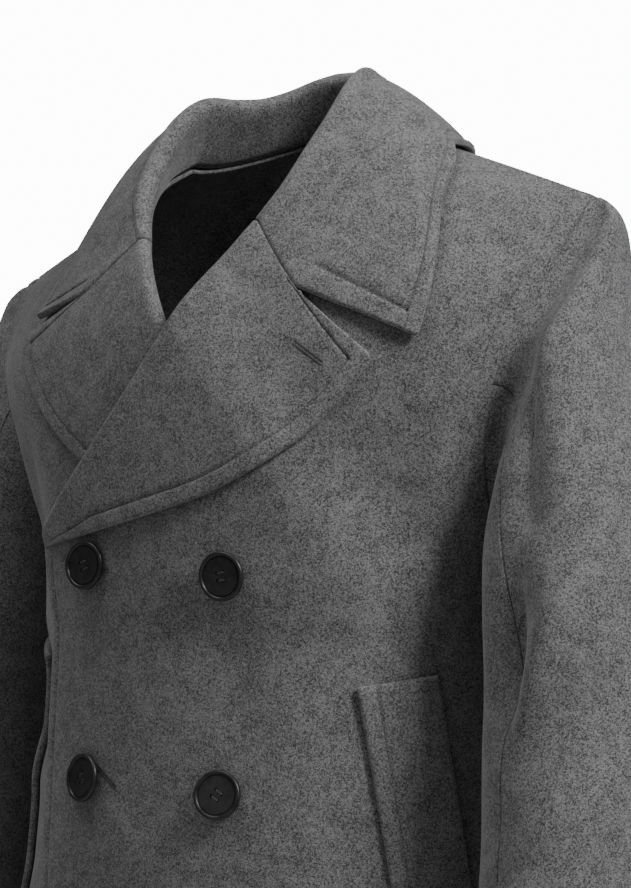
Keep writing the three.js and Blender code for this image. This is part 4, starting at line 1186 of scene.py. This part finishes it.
def sleeve_grid(side, turns, places):
    def points_at(shift, step):
        path = sleeve_path(turns + shift, side)
        return np.array([table_value(path, place + step) for place in places])

    base = points_at(0, 0)
    around = points_at(0.004, 0) - points_at(-0.004, 0)
    down = points_at(0, 0.04) - points_at(0, -0.04)
    normal = unit(np.cross(around, down)) * side
    arc = (turns - np.floor(turns + ARC_START)) * ARM_ROUND
    level = base[..., 2]
    height = fold_height(np.broadcast_to(arc, level.shape), level, SLEEVE_FOLDS[side])
    fade = smooth_step(0, SMOOTH_RINGS, np.asarray(places, float))[:, None]
    return base + normal * (height * fade)[..., None], unit(around)


# %% Build the sleeves
SLEEVE_LAST = len(ARM_SECTIONS) + 2
RING_MM, HEAD_MM = 82, 9  # the distance between rings, and from the armhole to the next one
ROUND_STEPS, DOWN_STEPS = 70, 150


def build_sleeve(side, name, node, from_turn, to_turn):
    round_run = spaced((to_turn - from_turn) * ARM_ROUND, SEAM_LINES, SEAM_LINES, ROUND_STEPS)
    turns = from_turn + round_run / ARM_ROUND
    head = np.array([*SEAM_LINES, HEAD_MM]) / HEAD_MM
    cuff = SLEEVE_LAST - np.asarray(SEAM_LINES, float)[::-1] / RING_MM
    places = np.concatenate([head, np.linspace(1, cuff[0], DOWN_STEPS)[1:-1], cuff])
    points, around = sleeve_grid(side, turns, places)
    points[:, 0] += around[:, 0] * SEAM / 2
    points[:, -1] -= around[:, -1] * SEAM / 2
    from_seam = np.minimum(round_run, round_run[-1] - round_run)[None, :]
    from_end = np.minimum(places * HEAD_MM, (SLEEVE_LAST - places) * RING_MM)[:, None]
    share = wall_share(np.minimum(from_seam, from_end), CLOTH / 2)
    piece = make_cloth(name, node, CLOTH, (points * MM, share))


for side, word in ((LEFT, "left"), (RIGHT, "right")):
    build_sleeve(side, f"wool_sleeve_{word}_top", f"sleeve_{word}_top",
                 BACK_SLEEVE_SEAM - 1, FRONT_SLEEVE_SEAM)
    build_sleeve(side, f"wool_sleeve_{word}_under", f"sleeve_{word}_under",
                 FRONT_SLEEVE_SEAM, BACK_SLEEVE_SEAM)

# %% [markdown]
# ## The pocket welts
# Each welt is a doubled strip that slants over the opening of a hand-warmer pocket. It is stitched
# down along its front edge, 10 mm in.

# %% Build the welts
WELT = {"x": 119, "z": -311, "width": 46, "length": 172, "lean": 0.17}
WELT_STEPS = 12  # steps in which a welt's width is laid along the curve of the front
WELT_END_ROWS = 4  # rows left unstitched at each end


def welt_points(side, across, along):
    z = WELT["z"] - along + across * WELT["lean"]
    x = WELT["x"] + WELT["lean"] * along
    for _ in range(WELT_STEPS):
        _, normal = place_on_form(FRONT, x, z)
        x = x + across / WELT_STEPS * np.abs(normal[..., 1])
    base, normal = place_on_form(FRONT, x, z)
    return base + normal * (cloth_lift(FRONT, side, x, z) + LAPEL_REST)[..., None]


def build_welt(side, name, node):
    across_lines = spaced(WELT["width"], EDGE_LINES, SEAM_LINES, 14)
    along_lines = spaced(WELT["length"], SEAM_LINES, SEAM_LINES, 60)
    across, along = np.meshgrid(across_lines, along_lines[::-1])
    points = settle(welt_points(side, across, along), side)
    from_side = np.minimum(across, WELT["width"] - across)
    from_end = np.minimum(along, WELT["length"] - along)
    share = wall_share(np.minimum(from_side, from_end), DOUBLED / 2) + groove(across)
    piece = make_cloth(name, node, DOUBLED, (points, share))
    facing = grid_normals(points) * side
    row = (slice(WELT_END_ROWS, -WELT_END_ROWS), STITCH_LINE)
    stitches = stitch_rows(name, node, (DOUBLED, points[row], facing[row]))


build_welt(LEFT, "wool_welt_left", "pocket_welt_left")
build_welt(RIGHT, "wool_welt_right", "pocket_welt_right")

# %% [markdown]
# ## The buttons
# A button is turned, so its half section is spun round its axis. It has a raised rim with a fine
# groove inside it, a shallow dish and four holes, which cutters take out. Each one is sewn on by hand,
# so each sits at its own tilt.

# %% Button sizes
BUTTON_COLUMN, BUTTON_LEVELS = 50, (-249, -379, -509)
SHANK_LENGTH = 2.2
HOLE_RADIUS, HOLE_OFFSET = 1.15, 2.3
BUTTON_SECTION = (
    (0, 3.0), (6.5, 3.1), (10.6, 3.35), (11.5, 3.4), (11.8, 2.95), (12.15, 2.95), (12.45, 3.7),
    (12.9, 4.2), (13.6, 4.4), (14.4, 4.1), (15, 3.1), (14.9, 1.9), (13.8, 0.9), (11.5, 0.2), (0, 0),
)
# Tilt up, tilt aside and spin of each button, in degrees
BUTTON_TILTS = {
    "button_edge_1": (2, 10, 24), "button_inner_1": (-3, -2, 8),
    "button_edge_2": (4, -3, 38), "button_inner_2": (9, 3, -30),
    "button_edge_3": (-3, 5, 15), "button_inner_3": (5, -4, 52),
}


# %% Turn one button
def button_mesh(name):
    body = bmesh.new()
    section = [body.verts.new((radius * MM, 0, height * MM)) for radius, height in BUTTON_SECTION]
    edges = [body.edges.new(pair) for pair in zip(section, section[1:])]
    bmesh.ops.spin(body, geom=section + edges, cent=(0, 0, 0), axis=(0, 0, 1), angle=2 * math.pi,
                   steps=56, use_merge=True)
    bmesh.ops.remove_doubles(body, verts=body.verts, dist=1e-6)
    bmesh.ops.recalc_face_normals(body, faces=body.faces)
    mesh = bpy.data.meshes.new(name)
    body.to_mesh(mesh)
    body.free()
    button = bpy.data.objects.new(name, mesh)
    cutters = bmesh.new()
    for x, y in ((1, 1), (-1, 1), (-1, -1), (1, -1)):
        put = Matrix.Translation((x * HOLE_OFFSET * MM, y * HOLE_OFFSET * MM, 2 * MM))
        bmesh.ops.create_cone(cutters, cap_ends=True, segments=20, radius1=HOLE_RADIUS * MM,
                              radius2=HOLE_RADIUS * MM, depth=8 * MM, matrix=put)
    cutter_mesh = bpy.data.meshes.new("hole_cutters")
    cutters.to_mesh(cutter_mesh)
    cutters.free()
    cutter = bpy.data.objects.new("hole_cutters", cutter_mesh)
    for item in (button, cutter):
        bpy.context.scene.collection.objects.link(item)
    cut = button.modifiers.new("Holes", "BOOLEAN")
    cut.object = cutter
    cut.operation = "DIFFERENCE"
    cut.solver = "EXACT"
    bpy.context.view_layer.update()
    shaped = button.evaluated_get(bpy.context.evaluated_depsgraph_get())
    result = bpy.data.meshes.new_from_object(shaped)
    bpy.data.objects.remove(button)
    bpy.data.objects.remove(cutter)
    result.name = name
    return result


button_pattern = button_mesh("button_pattern")
print("A button has", len(button_pattern.polygons), "faces")


# %% Sew on the six buttons
def button_place(name, x, z):
    base, normal = place_on_form(FRONT, float(x), float(z))
    lift = cloth_lift(FRONT, LEFT, x, z) + CLOTH / 2 + SHANK_LENGTH
    here = Vector(settle(base + normal * lift, LEFT))
    out = Vector(normal)
    side_way = Vector((0, 0, 1)).cross(out).normalized()
    up_way = out.cross(side_way)
    turn = Matrix((side_way, up_way, out)).transposed().to_4x4()
    up, aside, spin = (math.radians(angle) for angle in BUTTON_TILTS[name])
    tilt = Matrix.Rotation(-up, 4, "X") @ Matrix.Rotation(aside, 4, "Y") @ Matrix.Rotation(spin, 4, "Z")
    return Matrix.Translation(here) @ turn @ tilt


def build_button(name, x, z):
    put = button_place(name, x, z)
    mesh = button_pattern.copy()
    mesh.transform(put)
    for face in mesh.polygons:
        face.use_smooth = True
    mesh.set_sharp_from_angle(angle=math.radians(50))
    button = bpy.data.objects.new("horn_" + name, mesh)
    bpy.context.scene.collection.objects.link(button)
    mesh.materials.append(HORN)
    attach(button, "root")
    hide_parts(name)
    threads = bmesh.new()
    stem = put @ Matrix.Translation((0, 0, -0.8 * MM))
    bmesh.ops.create_cone(threads, cap_ends=True, segments=12, radius1=2.1 * MM, radius2=1.7 * MM,
                          depth=3.4 * MM, matrix=stem)
    for y in (1, -1):
        for strand in (-0.42, 0, 0.42):
            across = Matrix.Translation((0, (y * HOLE_OFFSET + strand) * MM, 2.75 * MM))
            strand_at = put @ across @ Matrix.Diagonal((3.1 * MM, 0.26 * MM, 0.34 * MM, 1))
            bmesh.ops.create_uvsphere(threads, u_segments=8, v_segments=6, radius=1, matrix=strand_at)
    finish_threads(threads, "thread_" + name, name)


for level, z in enumerate(BUTTON_LEVELS, start=1):
    build_button(f"button_edge_{level}", -BUTTON_COLUMN, z)
    build_button(f"button_inner_{level}", BUTTON_COLUMN, z)

# %% [markdown]
# ## Buttonholes
# A buttonhole is a slit whose edges are covered with close stitches. One lies under each edge button,
# and the upper end of the left lapel has one as well.

# %% Work the buttonholes
# The cloth that each is worked in, and its start and end on it
BUTTONHOLES = (
    ("front", (-60, -249), (-33, -251)),
    ("front", (-50, -366), (-25, -382)),
    ("front", (-60, -509), (-33, -511)),
    ("lapel", (87, -117), (105, -129)),
)
HOLE_PITCH, HOLE_STITCH_LIFT = 0.62, 0.12
HOLE_REACH = (0.4025, 1.15, 1.8975)  # a stitch lies between these distances from the slit's middle
HOLE_STITCH = {"pitch": 1.2, "length": 2.2}


def build_buttonhole(threads, where, start, end):
    start, end = np.array(start, float), np.array(end, float)
    length = math.dist(start, end)
    way = (end - start) / length
    across = np.array([-way[1], way[0]]) * np.array(HOLE_REACH)[:, None]
    for run, edge in itertools.product(np.arange(0, length, HOLE_PITCH), (1, -1)):
        x, z = (start + way * run + across * edge).T
        base, normal = place_on_form(FRONT, x, z)
        if where == "lapel":
            lift = lapel_lift(LEFT, x, z, FAR) + DOUBLED / 2
        else:
            lift = cloth_lift(FRONT, LEFT, x, z) + CLOTH / 2
        line = settle(base + normal * (lift + HOLE_STITCH_LIFT)[:, None], LEFT)
        add_stitches(threads, line, normal, 0, **HOLE_STITCH)


threads = bmesh.new()
for buttonhole in BUTTONHOLES:
    build_buttonhole(threads, *buttonhole)
finish_threads(threads, "buttonholes_left", "front_left")

# %% [markdown]
# ## Floor, light and camera
# A pale floor lies below the coat. One large soft light stands high on the right, one hangs above and
# a little to the left, a weak one fills in from the left, and the pale surroundings give the rest.
# The camera looks level at the chest from 37 degrees round to the coat's left.

# %% Floor
FLOOR_LEVEL = -1.42
floor_shape = bmesh.new()
bmesh.ops.create_circle(floor_shape, cap_ends=True, segments=96, radius=2.4,
                        matrix=Matrix.Translation((0, 0, FLOOR_LEVEL)))
floor_mesh = bpy.data.meshes.new("floor")
floor_shape.to_mesh(floor_mesh)
floor_shape.free()
floor = bpy.data.objects.new("floor", floor_mesh)
bpy.context.scene.collection.objects.link(floor)
floor_finish, floor_shader = new_material("Pale floor", 0.8)
floor_shader.inputs["Base Color"].default_value = (0.78, 0.78, 0.78, 1)
floor_mesh.materials.append(floor_finish)

# %% Lights
VIEW_ANGLE = math.radians(37)
to_camera = Vector((math.sin(VIEW_ANGLE), -math.cos(VIEW_ANGLE), 0))
to_right = Vector((math.cos(VIEW_ANGLE), math.sin(VIEW_ANGLE), 0))
up = Vector((0, 0, 1))
AIM = Vector((0.05, -0.05, -0.25))


def add_light(name, place, size, power):
    data = bpy.data.lights.new(name, "AREA")
    data.shape = "SQUARE"
    data.size = size
    data.energy = power
    light = bpy.data.objects.new(name, data)
    light.location = place
    light.rotation_euler = (AIM - place).to_track_quat("-Z", "Y").to_euler()
    bpy.context.scene.collection.objects.link(light)
    return light


add_light("key", to_right * 1.64 + to_camera * 1.55 + up * 1.5, 0.8, 64)
add_light("top", to_right * -0.6 + to_camera * 0.3 + up * 1.9, 1.3, 20)
add_light("fill", to_right * -1.5 + to_camera * 1.8 + up * 0.6, 1.6, 2.6)
world = bpy.data.worlds.new("Pale studio")
world.use_nodes = True
bpy.context.scene.world = world
sky = world.node_tree
ambient = sky.nodes["Background"]
ambient.inputs["Color"].default_value = (0.9, 0.92, 0.95, 1)
ambient.inputs["Strength"].default_value = 0.13
backdrop = add_node(sky, "ShaderNodeBackground")
backdrop.inputs["Color"].default_value = (0.93, 0.93, 0.93, 1)
backdrop.inputs["Strength"].default_value = 14
choose = add_node(sky, "ShaderNodeMixShader")
sky.links.new(add_node(sky, "ShaderNodeLightPath").outputs["Is Camera Ray"], choose.inputs[0])
sky.links.new(ambient.outputs[0], choose.inputs[1])
sky.links.new(backdrop.outputs[0], choose.inputs[2])
sky.links.new(choose.outputs[0], sky.nodes["World Output"].inputs["Surface"])
print("Three soft lights and a pale world are set")

# %% Camera
CAMERA_DISTANCE, CAMERA_LEVEL = 2.0, -0.172
PICTURE_WIDTH, PICTURE_HEIGHT = 631, 888
PIXEL_AT_COAT = 0.638 * MM
AXIS_COLUMN = 292  # the picture column of the coat's upright axis
SENSOR = 36.0

camera_data = bpy.data.cameras.new("camera")
camera_data.sensor_fit = "VERTICAL"
camera_data.sensor_height = SENSOR
camera_data.lens = SENSOR * CAMERA_DISTANCE / (PICTURE_HEIGHT * PIXEL_AT_COAT)
camera_data.shift_x = (PICTURE_WIDTH / 2 - AXIS_COLUMN) / PICTURE_HEIGHT
camera = bpy.data.objects.new("camera", camera_data)
camera.location = to_camera * CAMERA_DISTANCE + up * CAMERA_LEVEL
camera.rotation_euler = (math.radians(90), 0, VIEW_ANGLE)
bpy.context.scene.collection.objects.link(camera)
bpy.context.scene.camera = camera
print("The lens is", round(camera_data.lens, 1), "mm on a", SENSOR, "mm frame")
